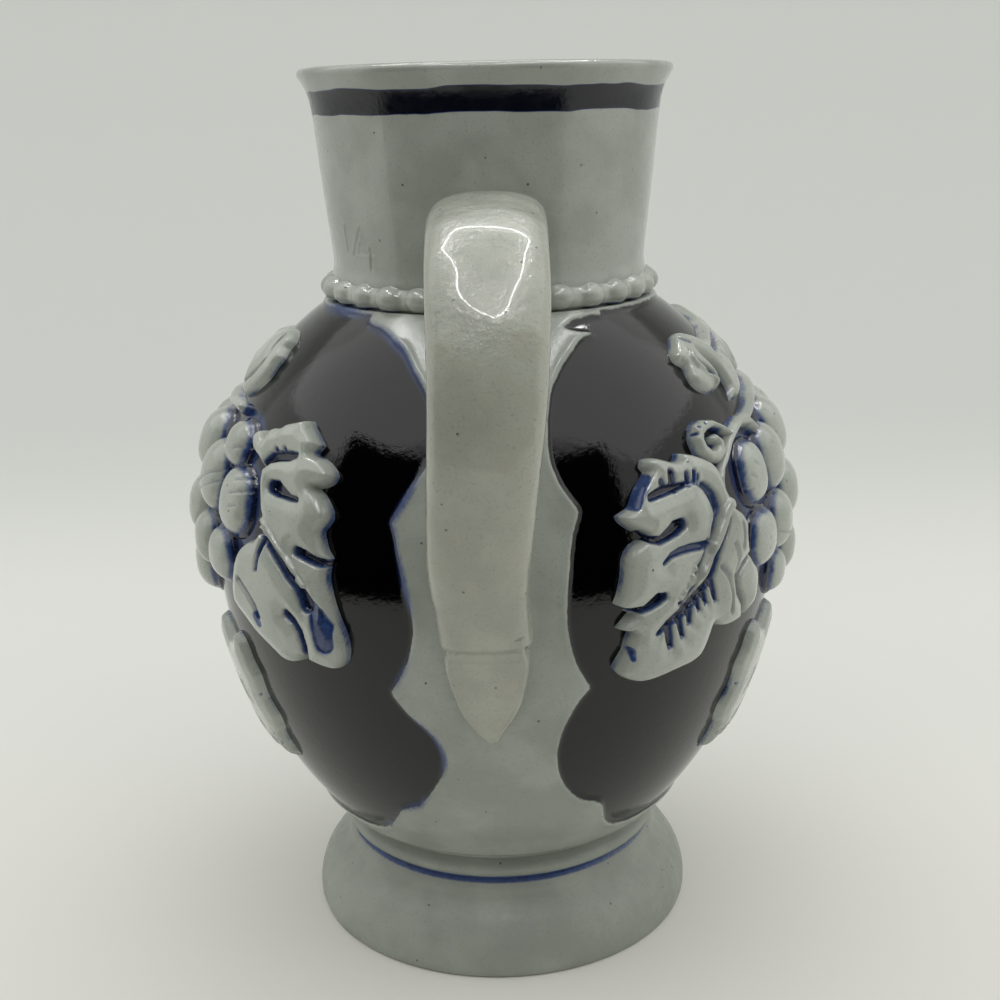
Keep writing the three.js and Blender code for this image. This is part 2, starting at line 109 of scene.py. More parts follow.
def distance_inside(u, z, outline):
    """The distance to an outline, positive inside and negative outside."""
    nearest = np.full(u.shape, 1e9)
    inside = np.zeros(u.shape, bool)
    for (u0, z0), (u1, z1) in zip(outline, np.roll(outline, -1, 0)):
        du, dz = u1 - u0, z1 - z0
        t = np.clip(((u - u0) * du + (z - z0) * dz) / (du * du + dz * dz + 1e-12), 0, 1)
        nearest = np.minimum(nearest, (u - u0 - t * du) ** 2 + (z - z0 - t * dz) ** 2)
        crosses = (z0 > z) != (z1 > z)
        inside ^= crosses & (u < u0 + du * (z - z0) / (dz if dz else 1e-12))
    return np.where(inside, 1, -1) * np.sqrt(nearest)


def distance_to_stroke(u, z, stroke):
    """The distance to the edge of a tapered stroke of (u, z, half width), negative on the stroke."""
    nearest = np.full(u.shape, 1e9)
    for (u0, z0, w0), (u1, z1, w1) in zip(stroke, stroke[1:]):
        du, dz = u1 - u0, z1 - z0
        t = np.clip(((u - u0) * du + (z - z0) * dz) / (du * du + dz * dz + 1e-12), 0, 1)
        away = np.hypot(u - u0 - t * du, z - z0 - t * dz) - (w0 + t * (w1 - w0))
        nearest = np.minimum(nearest, away)
    return nearest


def belly_radius(z):
    up = z > BELLY_MID
    run = np.where(up, BELLY_TOP - BELLY_MID, BELLY_MID - FOOT_TOP)
    end = np.where(up, THROAT_RADIUS, WAIST_RADIUS)
    reach = run / np.sqrt(1 - (end / BELLY_RADIUS) ** 2)
    return BELLY_RADIUS * np.sqrt(np.clip(1 - ((z - BELLY_MID) / reach) ** 2, 0.05, 1))


def on_belly(u, z, height, half=0):
    """Points at a height off the belly, as rows of x, y, z. half=1 is the same design half a turn on."""
    slope = (belly_radius(z + 0.01) - belly_radius(z - 0.01)) / 0.02
    lean = np.hypot(1, slope)
    radius = belly_radius(z) + height / lean
    turn = u / SPRIG_ARC + half * math.pi
    return np.stack([radius * np.sin(turn), -radius * np.cos(turn), z - height * slope / lean], 1)


# Small helpers for Blender

def new_piece(name, data):
    piece = bpy.data.objects.new(name, data)
    bpy.context.scene.collection.objects.link(piece)
    return piece


def mesh_piece(name, points, edges, faces):
    mesh = bpy.data.meshes.new(name)
    mesh.from_pydata([tuple(c * MM for c in point) for point in points], edges, faces)
    return new_piece(name, mesh)


def sheet(name, rows):
    """A sheet of faces between rows of points."""
    count = len(rows[0])
    faces = [(k * count + i, k * count + i + 1, (k + 1) * count + i + 1, (k + 1) * count + i)
             for k in range(len(rows) - 1) for i in range(count - 1)]
    return mesh_piece(name, [point for row in rows for point in row], [], faces)


def points_of(piece):
    flat = np.empty(len(piece.data.vertices) * 3)
    piece.data.vertices.foreach_get("co", flat)
    return flat.reshape(-1, 3) / MM


def radius_and_turn(points):
    """How far points are from the Z axis, and their turn round it from the handle towards +X."""
    return np.hypot(points[:, 0], points[:, 1]), np.arctan2(points[:, 0], -points[:, 1])


def move_points(piece, points):
    piece.data.vertices.foreach_set("co", (points * MM).ravel())
    piece.data.update()


def paint_points(piece, name, values):
    layer = piece.data.attributes.new(name, "FLOAT", "POINT")
    layer.data.foreach_set("value", np.asarray(values, np.float32))


def only(piece):
    bpy.ops.object.select_all(action="DESELECT")
    piece.select_set(True)
    bpy.context.view_layer.objects.active = piece


def edit(piece, select, *steps):
    """Selects what a test picks, in edit mode, and runs the operators on it."""
    only(piece)
    bpy.ops.object.mode_set(mode="EDIT")
    bpy.ops.mesh.select_all(action="SELECT" if select is None else "DESELECT")
    bpy.ops.object.mode_set(mode="OBJECT")
    if select is not None:
        kind, chosen = select
        getattr(piece.data, kind).foreach_set("select", np.asarray(chosen, bool))
    bpy.ops.object.mode_set(mode="EDIT")
    for operator, settings in steps:
        operator(**settings)
    bpy.ops.object.mode_set(mode="OBJECT")


def apply_place():
    bpy.ops.object.transform_apply(location=True, rotation=True, scale=True)


def modify(piece, kind, **settings):
    """Adds a modifier and applies it."""
    only(piece)
    made = piece.modifiers.new(kind.lower(), kind)
    for key, value in settings.items():
        setattr(made, key, value)
    bpy.ops.object.modifier_apply(modifier=made.name)


def use_mode(kind):
    bpy.context.tool_settings.mesh_select_mode = tuple(kind == k for k in ("VERT", "EDGE", "FACE"))


def finish_piece(piece, finish, slot, *nodes, angle=None):
    only(piece)
    if angle is None:
        bpy.ops.object.shade_smooth()
    else:
        bpy.ops.object.shade_smooth_by_angle(angle=math.radians(angle))
    piece.data.materials.clear()
    piece.data.materials.append(finish)
    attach(piece, "root")
    if nodes:
        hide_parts(*nodes)
    piece.select_set(False)
    return piece


FACE_OUT = (bpy.ops.mesh.normals_make_consistent, dict(inside=False))


def turned(name, profile, steps, shift=None):
    """Spins a profile of (radius, z) round the Z axis. shift moves the turn angles to crowd the columns."""
    line = [(0, -r, z) for r, z in profile]
    piece = mesh_piece(name, line, [(i, i + 1) for i in range(len(line) - 1)], [])
    edit(piece, None,
         (bpy.ops.mesh.spin, dict(steps=steps, angle=2 * math.pi, center=(0, 0, 0), axis=(0, 0, 1))),
         (bpy.ops.mesh.select_all, dict(action="SELECT")),
         (bpy.ops.mesh.remove_doubles, dict(threshold=0.002 * MM)), FACE_OUT)
    if shift:
        p = points_of(piece)
        r, turn = radius_and_turn(p)
        turn = shift(turn)
        move_points(piece, np.stack([r * np.sin(turn), -r * np.cos(turn), p[:, 2]], 1))
    return piece


# Materials

def paint(text):
    """An sRGB hex colour as linear RGBA."""
    parts = [int(text[i:i + 2], 16) / 255 for i in (1, 3, 5)]
    return (*[c / 12.92 if c <= 0.04045 else ((c + 0.055) / 1.055) ** 2.4 for c in parts], 1)


def add(tree, kind, inputs=(), **settings):
    """Adds a node. An input is a value, or a socket or node that is linked to it."""
    made = tree.nodes.new(kind)
    for key, value in settings.items():
        setattr(made, key, value)
    for key, value in inputs.items() if isinstance(inputs, dict) else enumerate(inputs):
        if isinstance(value, bpy.types.Node):
            value = value.outputs[0]
        if isinstance(value, bpy.types.NodeSocket):
            tree.links.new(value, made.inputs[key])
        else:
            made.inputs[key].default_value = value
    return made


def new_finish(name):
    material = bpy.data.materials.new(name)
    material.use_nodes = True
    tree = material.node_tree
    tree.nodes.clear()
    place = add(tree, "ShaderNodeTexCoord").outputs["Object"]
    return material, tree, place


SOFT = {"interpolation_type": "SMOOTHSTEP"}
COLOUR = {"data_type": "RGBA"}


def patches(tree, place, size, detail, rough, low, high, start, end):
    """Soft patches about size mm across, which drift from the start value to the end value."""
    inputs = {"Vector": place, "Scale": 1 / (size * MM), "Detail": detail, "Roughness": rough}
    drift = add(tree, "ShaderNodeTexNoise", inputs).outputs["Fac"]
    return add(tree, "ShaderNodeMapRange", [drift, low, high, start, end], **SOFT)


def toned(tree, body, amount, *tones):
    """Lays tones over a colour, each growing in while the amount goes from its low to its high."""
    for low, high, tone in tones:
        share = add(tree, "ShaderNodeMapRange", [amount, low, high, 0, 1], **SOFT)
        body = add(tree, "ShaderNodeMix", {0: share, 6: body, 7: paint(tone)}, **COLOUR).outputs[2]
    return body


def stoneware_colour(tree, place, pale, deep, warm):
    """Salt-fired clay under a clear glaze: soft clouds, a little ochre, and dark iron specks."""
    clouds = patches(tree, place, 9, 3, 0.5, 0.36, 0.64, 0, 1)
    ochre = patches(tree, place, 3.2, 4, 0.62, 0.52, 0.74, 0, 0.5)
    grain = patches(tree, place, 0.34, 2, 0.7, 0.56, 0.72, 0, 0.4)
    cells = add(tree, "ShaderNodeTexVoronoi", {"Vector": place, "Scale": 1 / (1.7 * MM), "Randomness": 1.0})
    dot = add(tree, "ShaderNodeMapRange", [cells.outputs["Distance"], 0.07, 0.12, 1, 0], **SOFT)
    chance = add(tree, "ShaderNodeSeparateColor", [cells.outputs["Color"]])
    chosen = add(tree, "ShaderNodeMapRange", [chance, 0.78, 0.8, 0, 1], **SOFT)
    speck = add(tree, "ShaderNodeMath", [dot, chosen], operation="MULTIPLY")
    speck = add(tree, "ShaderNodeMath", [speck, 0.75], operation="MULTIPLY")
    body = paint(pale)
    for share, tone in ((clouds, deep), (ochre, warm), (grain, "#7d817a"), (speck, "#2b2f2e")):
        body = add(tree, "ShaderNodeMix", {0: share, 6: body, 7: paint(tone)}, **COLOUR).outputs[2]
    return body


DIMPLE_DEPTH = 0.035
PIT_DEPTH = 0.012


def orange_peel(tree, place, depth=1.0):
    """The dimpled skin that salt leaves: 0.9 mm dimples with finer 0.2 mm pits in the glaze."""
    skin = []
    for size, detail, rough, deep in ((0.9, 1.5, 0.5, DIMPLE_DEPTH), (0.2, 2, 0.6, PIT_DEPTH)):
        inputs = {"Vector": place, "Scale": 1 / (size * MM), "Detail": detail, "Roughness": rough}
        drift = add(tree, "ShaderNodeTexNoise", inputs).outputs["Fac"]
        skin.append(add(tree, "ShaderNodeMath", [drift, deep * MM * depth], operation="MULTIPLY"))
    height = add(tree, "ShaderNodeMath", skin, operation="ADD")
    return add(tree, "ShaderNodeBump", {"Height": height, "Strength": 1.0, "Distance": 1.0})


def uneven(tree, place, low, high):
    """A roughness that drifts between two values over a few millimetres."""
    return patches(tree, place, 1.4, 3, 0.5, 0.35, 0.65, low, high)


def glaze_shader(tree, colour, roughness, bump, coat=0.45):
    """A clear fired glaze: IOR 1.5 glass over the colour, with a smooth top coat."""
    inputs = {"Base Color": colour, "Roughness": roughness, "Normal": bump, "IOR": 1.5,
              "Coat Weight": coat, "Coat Roughness": 0.05, "Coat IOR": 1.5}
    add(tree, "ShaderNodeOutputMaterial", {"Surface": add(tree, "ShaderNodeBsdfPrincipled", inputs)})


STONE = ("#a4a9a2", "#969b93", "#a3a497")
COBALT = "#32487a"
DEEP_COBALT = "#131a33"
BLACK_GLAZE = "#030304"


def washed(tree, place, body, cobalt):
    """Cobalt brushed over the clay: thin it is grey blue, pooled it is nearly black."""
    broken = patches(tree, place, 0.7, 4, 0.65, 0.3, 0.7, -0.14, 0.14)
    more = add(tree, "ShaderNodeMath", [broken, cobalt], operation="MULTIPLY")
    amount = add(tree, "ShaderNodeMath", [cobalt, more], operation="ADD")
    return toned(tree, body, amount, (0.1, 0.62, COBALT), (0.62, 1.0, DEEP_COBALT))


def handle_salt_glaze():
    # Grey stoneware under a thick salt glaze: light and warm, with iron specks and coarse dimples.
    material, tree, place = new_finish("handle_salt_glaze")
    body = stoneware_colour(tree, place, "#aeb0a4", "#a1a398", "#aeac99")
    glaze_shader(tree, body, uneven(tree, place, 0.13, 0.26), orange_peel(tree, place, 2.6))
    return material


def washed_salt_glaze(name, tones, matt=0.0, coat=0.45):
    # Grey salt-glazed stoneware, moulded or turned, with cobalt run into its hollows.
    material, tree, place = new_finish(name)
    body = stoneware_colour(tree, place, *tones)
    cobalt = add(tree, "ShaderNodeAttribute", attribute_name="cobalt").outputs["Fac"]
    rough = uneven(tree, place, 0.12 + matt, 0.26 + matt)
    glaze_shader(tree, washed(tree, place, body, cobalt), rough, orange_peel(tree, place), coat)
    return material


def dark_cobalt_glaze():
    # Cobalt and manganese glaze, fired blue-black and mirror bright, around the bare grey fields.
    material, tree, place = new_finish("dark_cobalt_glaze")
    body = stoneware_colour(tree, place, *STONE)
    cobalt = add(tree, "ShaderNodeAttribute", attribute_name="cobalt").outputs["Fac"]
    bare = add(tree, "ShaderNodeAttribute", attribute_name="bare").outputs["Fac"]
    wobble = patches(tree, place, 1.1, 3, 0.5, 0.3, 0.7, -0.05, 0.05)
    edge = add(tree, "ShaderNodeMath", [bare, wobble], operation="ADD")
    grey = add(tree, "ShaderNodeMapRange", [edge, -0.1, 0.12, 0, 1], **SOFT)
    dark = toned(tree, paint(BLACK_GLAZE), cobalt, (0.15, 0.9, "#2b3d6c"))
    thinner = add(tree, "ShaderNodeMath", [cobalt, 0.8], operation="MULTIPLY")
    body = washed(tree, place, body, thinner)
    colour = add(tree, "ShaderNodeMix", {0: grey, 6: dark, 7: body}, **COLOUR).outputs[2]
    rough = add(tree, "ShaderNodeMapRange", [grey, 0, 1, 0.055, 0.2], **SOFT)
    glaze_shader(tree, colour, rough, orange_peel(tree, place, 0.55), 0.0)
    return material


BAND_LOW, BAND_HIGH = 115.1, 118.1


def banded_neck_glaze():
    # The neck's grey salt glaze with a brushed band of dark cobalt under the rim.
    material, tree, place = new_finish("banded_neck_glaze")
    body = stoneware_colour(tree, place, *STONE)
    height = add(tree, "ShaderNodeSeparateXYZ", [place]).outputs[2]
    wobble = patches(tree, place, 9, 2, 0.5, 0.3, 0.7, -0.18 * MM, 0.18 * MM)
    level = add(tree, "ShaderNodeMath", [height, wobble], operation="ADD")
    rise, fall = [add(tree, "ShaderNodeMapRange", [level, low * MM, high * MM, start, end], **SOFT)
                  for low, high, start, end in ((BAND_LOW - 0.16, BAND_LOW + 0.2, 0, 1),
                                                (BAND_HIGH - 0.2, BAND_HIGH + 0.16, 1, 0))]
    between = add(tree, "ShaderNodeMath", [rise, fall], operation="MULTIPLY")
    brushed = add(tree, "ShaderNodeAttribute", attribute_name="cobalt").outputs["Fac"]
    band = add(tree, "ShaderNodeMath", [between, brushed], operation="MULTIPLY")
    colour = toned(tree, body, band, (0.02, 0.5, "#1b2a55"), (0.4, 1, "#0c0f1a"))
    coat = add(tree, "ShaderNodeMapRange", [band, 0, 0.6, 0.45, 0.0], **SOFT)
    glaze_shader(tree, colour, uneven(tree, place, 0.12, 0.24), orange_peel(tree, place), coat)
    return material


handle_glaze = handle_salt_glaze()
relief_glaze = washed_salt_glaze("blue_washed_relief", ("#afb4ac", "#a2a79f", "#afafa2"))
foot_glaze = washed_salt_glaze("foot_salt_glaze", ("#9da29a", "#90958d", "#9e9e91"), 0.26, 0.0)
belly_glaze = dark_cobalt_glaze()
neck_glaze = banded_neck_glaze()


# Foot: a thrown pedestal with a cobalt line in its groove

GROOVE_Z = 12.2


def build_foot():
    shape = curve_through([
        (0, 0, 0), (FOOT_RADIUS - 0.8, 0, 0), (FOOT_RADIUS - 0.2, 0.25), (FOOT_RADIUS, 0.9),
        (FOOT_RADIUS, 2.2), (27.75, 3.6), (27.1, 5.3), (25.7, 7.3), (24.2, 8.9), (23.5, 9.8), (23.3, 10.5),
        (23.1, 11.2), (22.6, 11.8), (22.4, 12.2), (22.6, 12.6), (23.2, 13.1), (23.5, 13.8), (23.3, 14.5),
        (22.7, 15), (22.3, FOOT_TOP, 0), (0, FOOT_TOP),
    ], 0.35)
    foot = turned("foot_turned", shape, 240)
    p = points_of(foot)
    radius, turn = radius_and_turn(p)
    line = 1 - smooth((np.abs(p[:, 2] - GROOVE_Z) - 0.25) / 0.5)
    strength = 0.5 + 0.3 * np.cos(turn + 0.5) + 0.12 * np.sin(5 * turn) * np.sin(2 * turn + 1)
    paint_points(foot, "cobalt", line * np.clip(strength, 0.2, 0.8) * (radius > 20))
    finish_piece(foot, foot_glaze, "grey_salt_glaze", "foot", angle=50)


# Belly: the thrown bowl, black glazed around two bare grey fields

FIELD_RIGHT = [
    (26.5, 93, 0), (26.5, 90.2), (23.8, 90), (18.5, 89.7), (15.3, 89, 0), (17.2, 88.6), (20.9, 88.2, 0),
    (18, 87.7), (16.2, 87.1), (12.7, 85.4), (10.5, 83.8), (9.2, 82.4), (8.2, 80.2), (7.7, 78), (7.6, 75.4),
    (8.6, 72.6), (10.7, 69.6, 0), (9.5, 66.4), (8.9, 62), (8.6, 58), (8.9, 54.4), (9.8, 51.2), (10.9, 49),
    (12, 47.4, 0), (10.5, 45.6), (9.3, 43.4), (8.4, 41), (8, 38), (8.5, 35.2), (9.8, 32.4), (12, 30),
    (14.6, 28.5, 0), (16.8, 27.8), (17.9, 26.6), (18.9, 24.8), (20.4, 23), (23.2, 21.4), (27, 20.5),
    (31, 20.3, 0),
]
FIELD_LEFT = [
    (29, 93, 0), (29, 89.9), (23.3, 88.9), (19.6, 87.9), (16.1, 86.7), (13.1, 84.7), (10.8, 83),
    (9.1, 80.6), (7.9, 78), (8.4, 75.8), (10, 73.5), (11.6, 70.9), (13.1, 68.5, 0), (12.5, 67),
    (12.1, 65.1), (11.6, 63.2), (11.2, 61), (10.6, 58.3), (10.4, 55.8), (10.8, 53.4), (11.4, 51.5),
    (12.6, 49.2), (14.1, 46.9, 0), (12.2, 44.2), (10.3, 42.4), (8.6, 40.4), (7.8, 37.8), (8.3, 35.2),
    (10, 32.4), (12, 30), (13.3, 28.6, 0), (15.3, 27.8), (17.4, 26.8), (19, 25.2), (20.8, 23.6), (23, 22.2),
    (26.6, 20.8), (31, 20.3, 0),
]
FIELD_FOOT_Z = 20.3
FIELD_TOP_Z = 90.3
FIELD_RISE = 0.45


def bare_distance(u, z):
    """How far inside the bare grey clay a place of the belly lies. In the black glaze it is negative."""
    right, left = (curve_through([*edge, (31, 12, 0), (0, 12)], 0.6) for edge in (FIELD_RIGHT, FIELD_LEFT))
    outline = np.concatenate([right, (left * (-1, 1))[::-1]])
    bare = np.maximum(FIELD_FOOT_Z - z, z - FIELD_TOP_Z)
    for middle in (0, HALF_TURN):
        across = (u - middle + HALF_TURN) % (2 * HALF_TURN) - HALF_TURN
        near = np.abs(across) < 34
        bare[near] = np.maximum(bare[near], distance_inside(across[near], z[near], outline))
    return bare


def build_belly():
    low = BELLY_MID - (BELLY_MID - FOOT_TOP) * np.cos(np.linspace(0, math.pi / 2, 110))
    high = BELLY_MID + (BELLY_TOP - BELLY_MID) * np.sin(np.linspace(0, math.pi / 2, 88))
    heights = np.concatenate([low, high[1:]])
    outer = np.stack([belly_radius(heights), heights], 1)
    floor_z = FOOT_TOP + FLOOR
    inner_z = np.linspace(floor_z + 7, BELLY_TOP - 3, 22)
    inner = [(float(belly_radius(z)) - WALL, z) for z in inner_z]
    inside = curve_through([(0, floor_z), (13, floor_z + 0.1), (19.5, floor_z + 1.2), *inner[1:-1],
                            (THROAT_RADIUS - WALL, BELLY_TOP)], 3)
    profile = [(0, FOOT_TOP), *outer, *inside[::-1]]
    belly = turned("belly_glazed", profile, 400, lambda turn: turn - 0.2 * np.sin(2 * turn))
    p = points_of(belly)
    radius, turn = radius_and_turn(p)
    u, z = turn * SPRIG_ARC, p[:, 2]
    outside = radius > belly_radius(z) - 0.2
    bare = np.where(outside, bare_distance(u, z), 5.0)
    rise = np.where(outside, FIELD_RISE * smooth((bare + 0.45) / 0.7), 0) * smooth((z - 16) / 2)
    rim = 0.16 * np.exp(-((bare - 0.35) / 0.4) ** 2) * (outside & (z > 21) & (z < 88))
    lifted = on_belly(u, z, rise + rim)
    p[outside] = lifted[outside]
    move_points(belly, p)
    # Cobalt bleeds along the edges of the fields, most on the left, and round the grapes
    left = smooth(-u / 4 + 0.4) * (np.abs(u) < 64)
    fringe = np.exp(-((bare + 0.1) / 0.65) ** 2) * (0.22 + 0.78 * left)
    fringe *= 0.55 + 0.45 * np.sin(z * 0.41 + 1.2) * np.sin(z * 0.17 + u * 0.2 + 0.6)
    fringe = np.where(outside & (z > 22), fringe, 0)
    side = outside & (np.abs(u) > 30) & (np.abs(u) < HALF_TURN - 30) & (z > 48) & (z < 80)
    design_u = np.where(u > 0, u, u + HALF_TURN)[side]
    halo = 0.7 - 0.7 * smooth((-bunch_inside(design_u, z[side]) - 0.2) / 1.6)
    fringe[side] = np.maximum(fringe[side], halo)
    paint_points(belly, "bare", bare)
    paint_points(belly, "cobalt", fringe)
    finish_piece(belly, belly_glaze, "dark_cobalt_glaze", "belly", angle=60)


# Neck: the flared collar with its pinched pouring lip and the incised measure

LIP_REACH = 4.5
LIP_RISE = 0.6
LIP_HALF_ANGLE = math.radians(34)
LIP_START = BELLY_TOP + 11
MARK_TURN = math.radians(-52.5)
MARK_Z = 98.5
MARK_STROKES = [
    [(-2.2, 2.7, 0.15), (-2.2, -0.6, 0.15)],
    [(1.5, 2.6, 0.15), (-0.8, -1.0, 0.15)],
    [(1.2, 0.6, 0.15), (0.6, -0.5, 0.15), (3.6, -0.5, 0.15)],
    [(3.2, 0.1, 0.15), (2.9, -2.6, 0.15)],
]


def build_neck():
    outer = curve_through([
        (21.1, BELLY_TOP), (21.45, 92.6), (21.6, 94), (21.3, 96), (21.8, 101), (22.4, 106.4), (23.2, 114.8),
        (23.7, 117.6), (24.5, 119.2), (RIM_RADIUS, 120.1), (24.8, 120.75), (24, RIM_TOP), (23.2, 120.7),
        (22.7, 119.9), (21.9, 117.6), (21, 114), (20.2, 110), (19.2, 106), (18.6, 101), (18.1, 96),
        (THROAT_RADIUS - WALL, BELLY_TOP),
    ], 0.24)
    neck = turned("neck_thrown", [*outer, outer[0]], 300,
                  lambda turn: turn - 0.62 * np.sin(turn - MARK_TURN))
    p = points_of(neck)
    radius, turn = radius_and_turn(p)
    outside = radius > 20.6 + 0.11 * (p[:, 2] - 96)
    u = (turn - MARK_TURN) * 22
    near = outside & (np.abs(u) < 5) & (np.abs(p[:, 2] - MARK_Z) < 4)
    cut = np.zeros(len(p))
    for stroke in MARK_STROKES:
        away = distance_to_stroke(u[near], p[near, 2] - MARK_Z, stroke)
        groove = -0.14 * (1 - smooth((away + 0.15) / 0.3)) + 0.06 * np.exp(-((away - 0.3) / 0.15) ** 2)
        cut[near] = np.where(np.abs(groove) > np.abs(cut[near]), groove, cut[near])
    scale = 1 + cut / radius
    around = smooth(1 - (math.pi - np.abs(turn)) / LIP_HALF_ANGLE)
    pull = around * np.clip((p[:, 2] - LIP_START) / (RIM_TOP - LIP_START), 0, None) ** 2
    scale += LIP_REACH * pull / radius
    p[:, :2] *= scale[:, None]
    p[:, 2] += LIP_RISE * pull
    move_points(neck, p)
    fading = 1 - 0.5 * smooth((np.degrees(turn) - 62) / 24) * (turn < 2.4)
    paint_points(neck, "cobalt", outside * fading)
    finish_piece(neck, neck_glaze, "grey_salt_glaze", "neck")


# Bead collar: pressed beads on a cord of slip

BEAD_COUNT = 30
BEAD_CIRCLE = 21.0
BEAD_Z = BELLY_TOP + 1.95


def build_collar():
    rng = np.random.default_rng(7)
    bpy.ops.mesh.primitive_torus_add(major_radius=BEAD_CIRCLE * MM, minor_radius=1.5 * MM, major_segments=180,
                                     minor_segments=16, location=(0, 0, (BEAD_Z - 0.1) * MM))
    collar = bpy.context.object
    collar.name = "bead_collar_pressed"
    beads = []
    for i in range(BEAD_COUNT):
        turn = (i + 0.5) / BEAD_COUNT * 2 * math.pi + rng.normal(0, 0.006)
        size = 2.35 + rng.normal(0, 0.05)
        place = (BEAD_CIRCLE * math.cos(turn) * MM, BEAD_CIRCLE * math.sin(turn) * MM,
                 (BEAD_Z + rng.normal(0, 0.06)) * MM)
        bpy.ops.mesh.primitive_uv_sphere_add(segments=24, ring_count=16, radius=size * MM, location=place,
                                             rotation=(0, 0, turn))
        bead = bpy.context.object
        bead.scale = (0.98, 1.02, 0.74)
        beads.append(bead)
    only(collar)
    for bead in beads:
        bead.select_set(True)
    bpy.ops.object.join()
    apply_place()
    modify(collar, "REMESH", mode="VOXEL", voxel_size=0.24 * MM)
    modify(collar, "SMOOTH", iterations=4, factor=0.5)
    inner = radius_and_turn(points_of(collar))[0] < 19.9
    edit(collar, ("vertices", inner), (bpy.ops.mesh.delete, dict(type="VERT")),
         (bpy.ops.mesh.select_all, dict(action="DESELECT")), (bpy.ops.mesh.select_non_manifold, {}),
         (bpy.ops.mesh.bridge_edge_loops, {}))
    p = points_of(collar)
    beside_field = smooth((np.abs(np.degrees(radius_and_turn(p)[1])) - 30) / 8)
    paint_points(collar, "cobalt", (0.15 + 0.75 * beside_field) * smooth((BEAD_Z - p[:, 2] - 1.0) / 0.5))
    finish_piece(collar, relief_glaze, "grey_salt_glaze", "bead_collar")


# Handle: a pulled strap luted to the neck and belly, with its tail pressed down to a point

HANDLE_LINE = [
    (20.3, 101.6), (30.3, 103.2), (41.45, 102.3), (49.2, 97.6), (53.8, 88.95), (53.8, 79), (50.4, 68.5),
    (45.6, 59.9), (41.6, 52.7),
]
HANDLE_WIDTH = 13.7
HANDLE_THICK = 6.4
EDGE_ROUND = 3.1
STRAP_END_Z = 56.0
# By the distance along its middle line: how far the pulled strap leans sideways, and how wide it is
STRAP_LEAN = [
    (0, 0), (10, -0.1), (24, -0.24), (32.5, -0.24), (42, -0.46), (51, -1.14), (58.5, -1.66), (64, -1.9),
    (69.5, -1.65), (75, -1.3),
]
STRAP_WIDTH = [
    (0, 13.7), (24, 13.4), (32.5, 13.2), (42, 12.6), (51, 12), (58.5, 11.7), (64, 11.3), (69.5, 10.95),
    (75, 10.9),
]


def along_strap(table, along):
    line = curve_through(table, 1.0)
    return np.interp(along, line[:, 0], line[:, 1])


def strap_ends(line, steps):
    """Where each long line of the strap, by its distance out of the middle, meets the level cut."""
    outs = np.linspace(-4, 4, 33)
    way = np.gradient(line, steps, axis=0)
    way /= np.linalg.norm(way, axis=1)[:, None]
    ends = []
    for out in outs:
        z = line[:, 1] + out * way[:, 0]
        last = np.nonzero(z > STRAP_END_Z)[0][-1]
        share = (z[last] - STRAP_END_Z) / max(z[last] - z[min(last + 1, len(z) - 1)], 1e-6)
        ends.append(np.interp(last + min(share, 1), np.arange(len(steps)), steps))
    return outs, ends


def edge_reach(piece):
    """How far each edge reaches along x, y and z."""
    p = points_of(piece)
    ends = np.array([tuple(edge.vertices) for edge in piece.data.edges])
    return np.abs(p[ends[:, 0]] - p[ends[:, 1]])


def build_handle():
    line = curve_through(HANDLE_LINE, 0.25)
    steps = np.concatenate([[0], np.cumsum(np.linalg.norm(np.diff(line, axis=0), axis=1))])
    length = steps[-1]
    bpy.ops.mesh.primitive_cube_add(size=1, location=(0, 0, 0.5))
    strap = bpy.context.object
    strap.name = "handle_strap"
    strap.scale = (HANDLE_WIDTH * MM, HANDLE_THICK * MM, length * MM)
    strap.location = (0, 0, length / 2 * MM)
    apply_place()
    use_mode("EDGE")
    edit(strap, ("edges", edge_reach(strap)[:, 2] > 1),
         (bpy.ops.mesh.bevel, dict(offset=EDGE_ROUND * MM, segments=9, profile=0.5)))
    edit(strap, ("edges", edge_reach(strap)[:, 2] > 1), (bpy.ops.mesh.subdivide, dict(number_cuts=130)))
    reach = edge_reach(strap)
    flat = (reach[:, 2] < 0.01) & (reach[:, 0] > 4)
    edit(strap, ("edges", flat), (bpy.ops.mesh.subdivide, dict(number_cuts=9)))
    use_mode("VERT")
    across, out, along = points_of(strap).T
    half = HANDLE_WIDTH / 2
    power = 2.5 + 0.5 * smooth((along - 24) / 20)
    reach = (np.abs(across / half) ** power + np.abs(out / (HANDLE_THICK / 2)) ** power) ** (-1 / power)
    across, out = across * reach, out * reach
    along = along * np.interp(out, *strap_ends(line, steps)) / length
    across = across / half * along_strap(STRAP_WIDTH, along) / 2 + along_strap(STRAP_LEAN, along)
    out = out + 0.05 * np.sin(along * 0.55 + across * 0.3) + 0.04 * np.sin(along * 1.3 - across * 0.5)
    way = np.gradient(line, steps, axis=0)
    r, z, tr, tz = (np.interp(along, steps, column) for column in (*line.T, *way.T))
    size = np.hypot(tr, tz)
    tr, tz = tr / size, tz / size
    move_points(strap, np.stack([across, -(r - out * tz), z + out * tr], 1))
    edit(strap, None, FACE_OUT)
    finish_piece(strap, handle_glaze, "grey_salt_glaze", "handle")


# Moulded ornaments: clay sprigs pressed in a mould and laid on the belly

def edge_rise(inside, width=1.25):
    """A rounded rise that starts just outside an outline, under the clay, and is 1 a width inside it."""
    t = np.clip((inside + 0.15) / (width + 0.15), 0, 1)
    return 1 - (1 - t) ** 2.2


def inside_of(points):
    outline = closed_outline(points)
    return lambda u, z: distance_inside(u, z, outline)


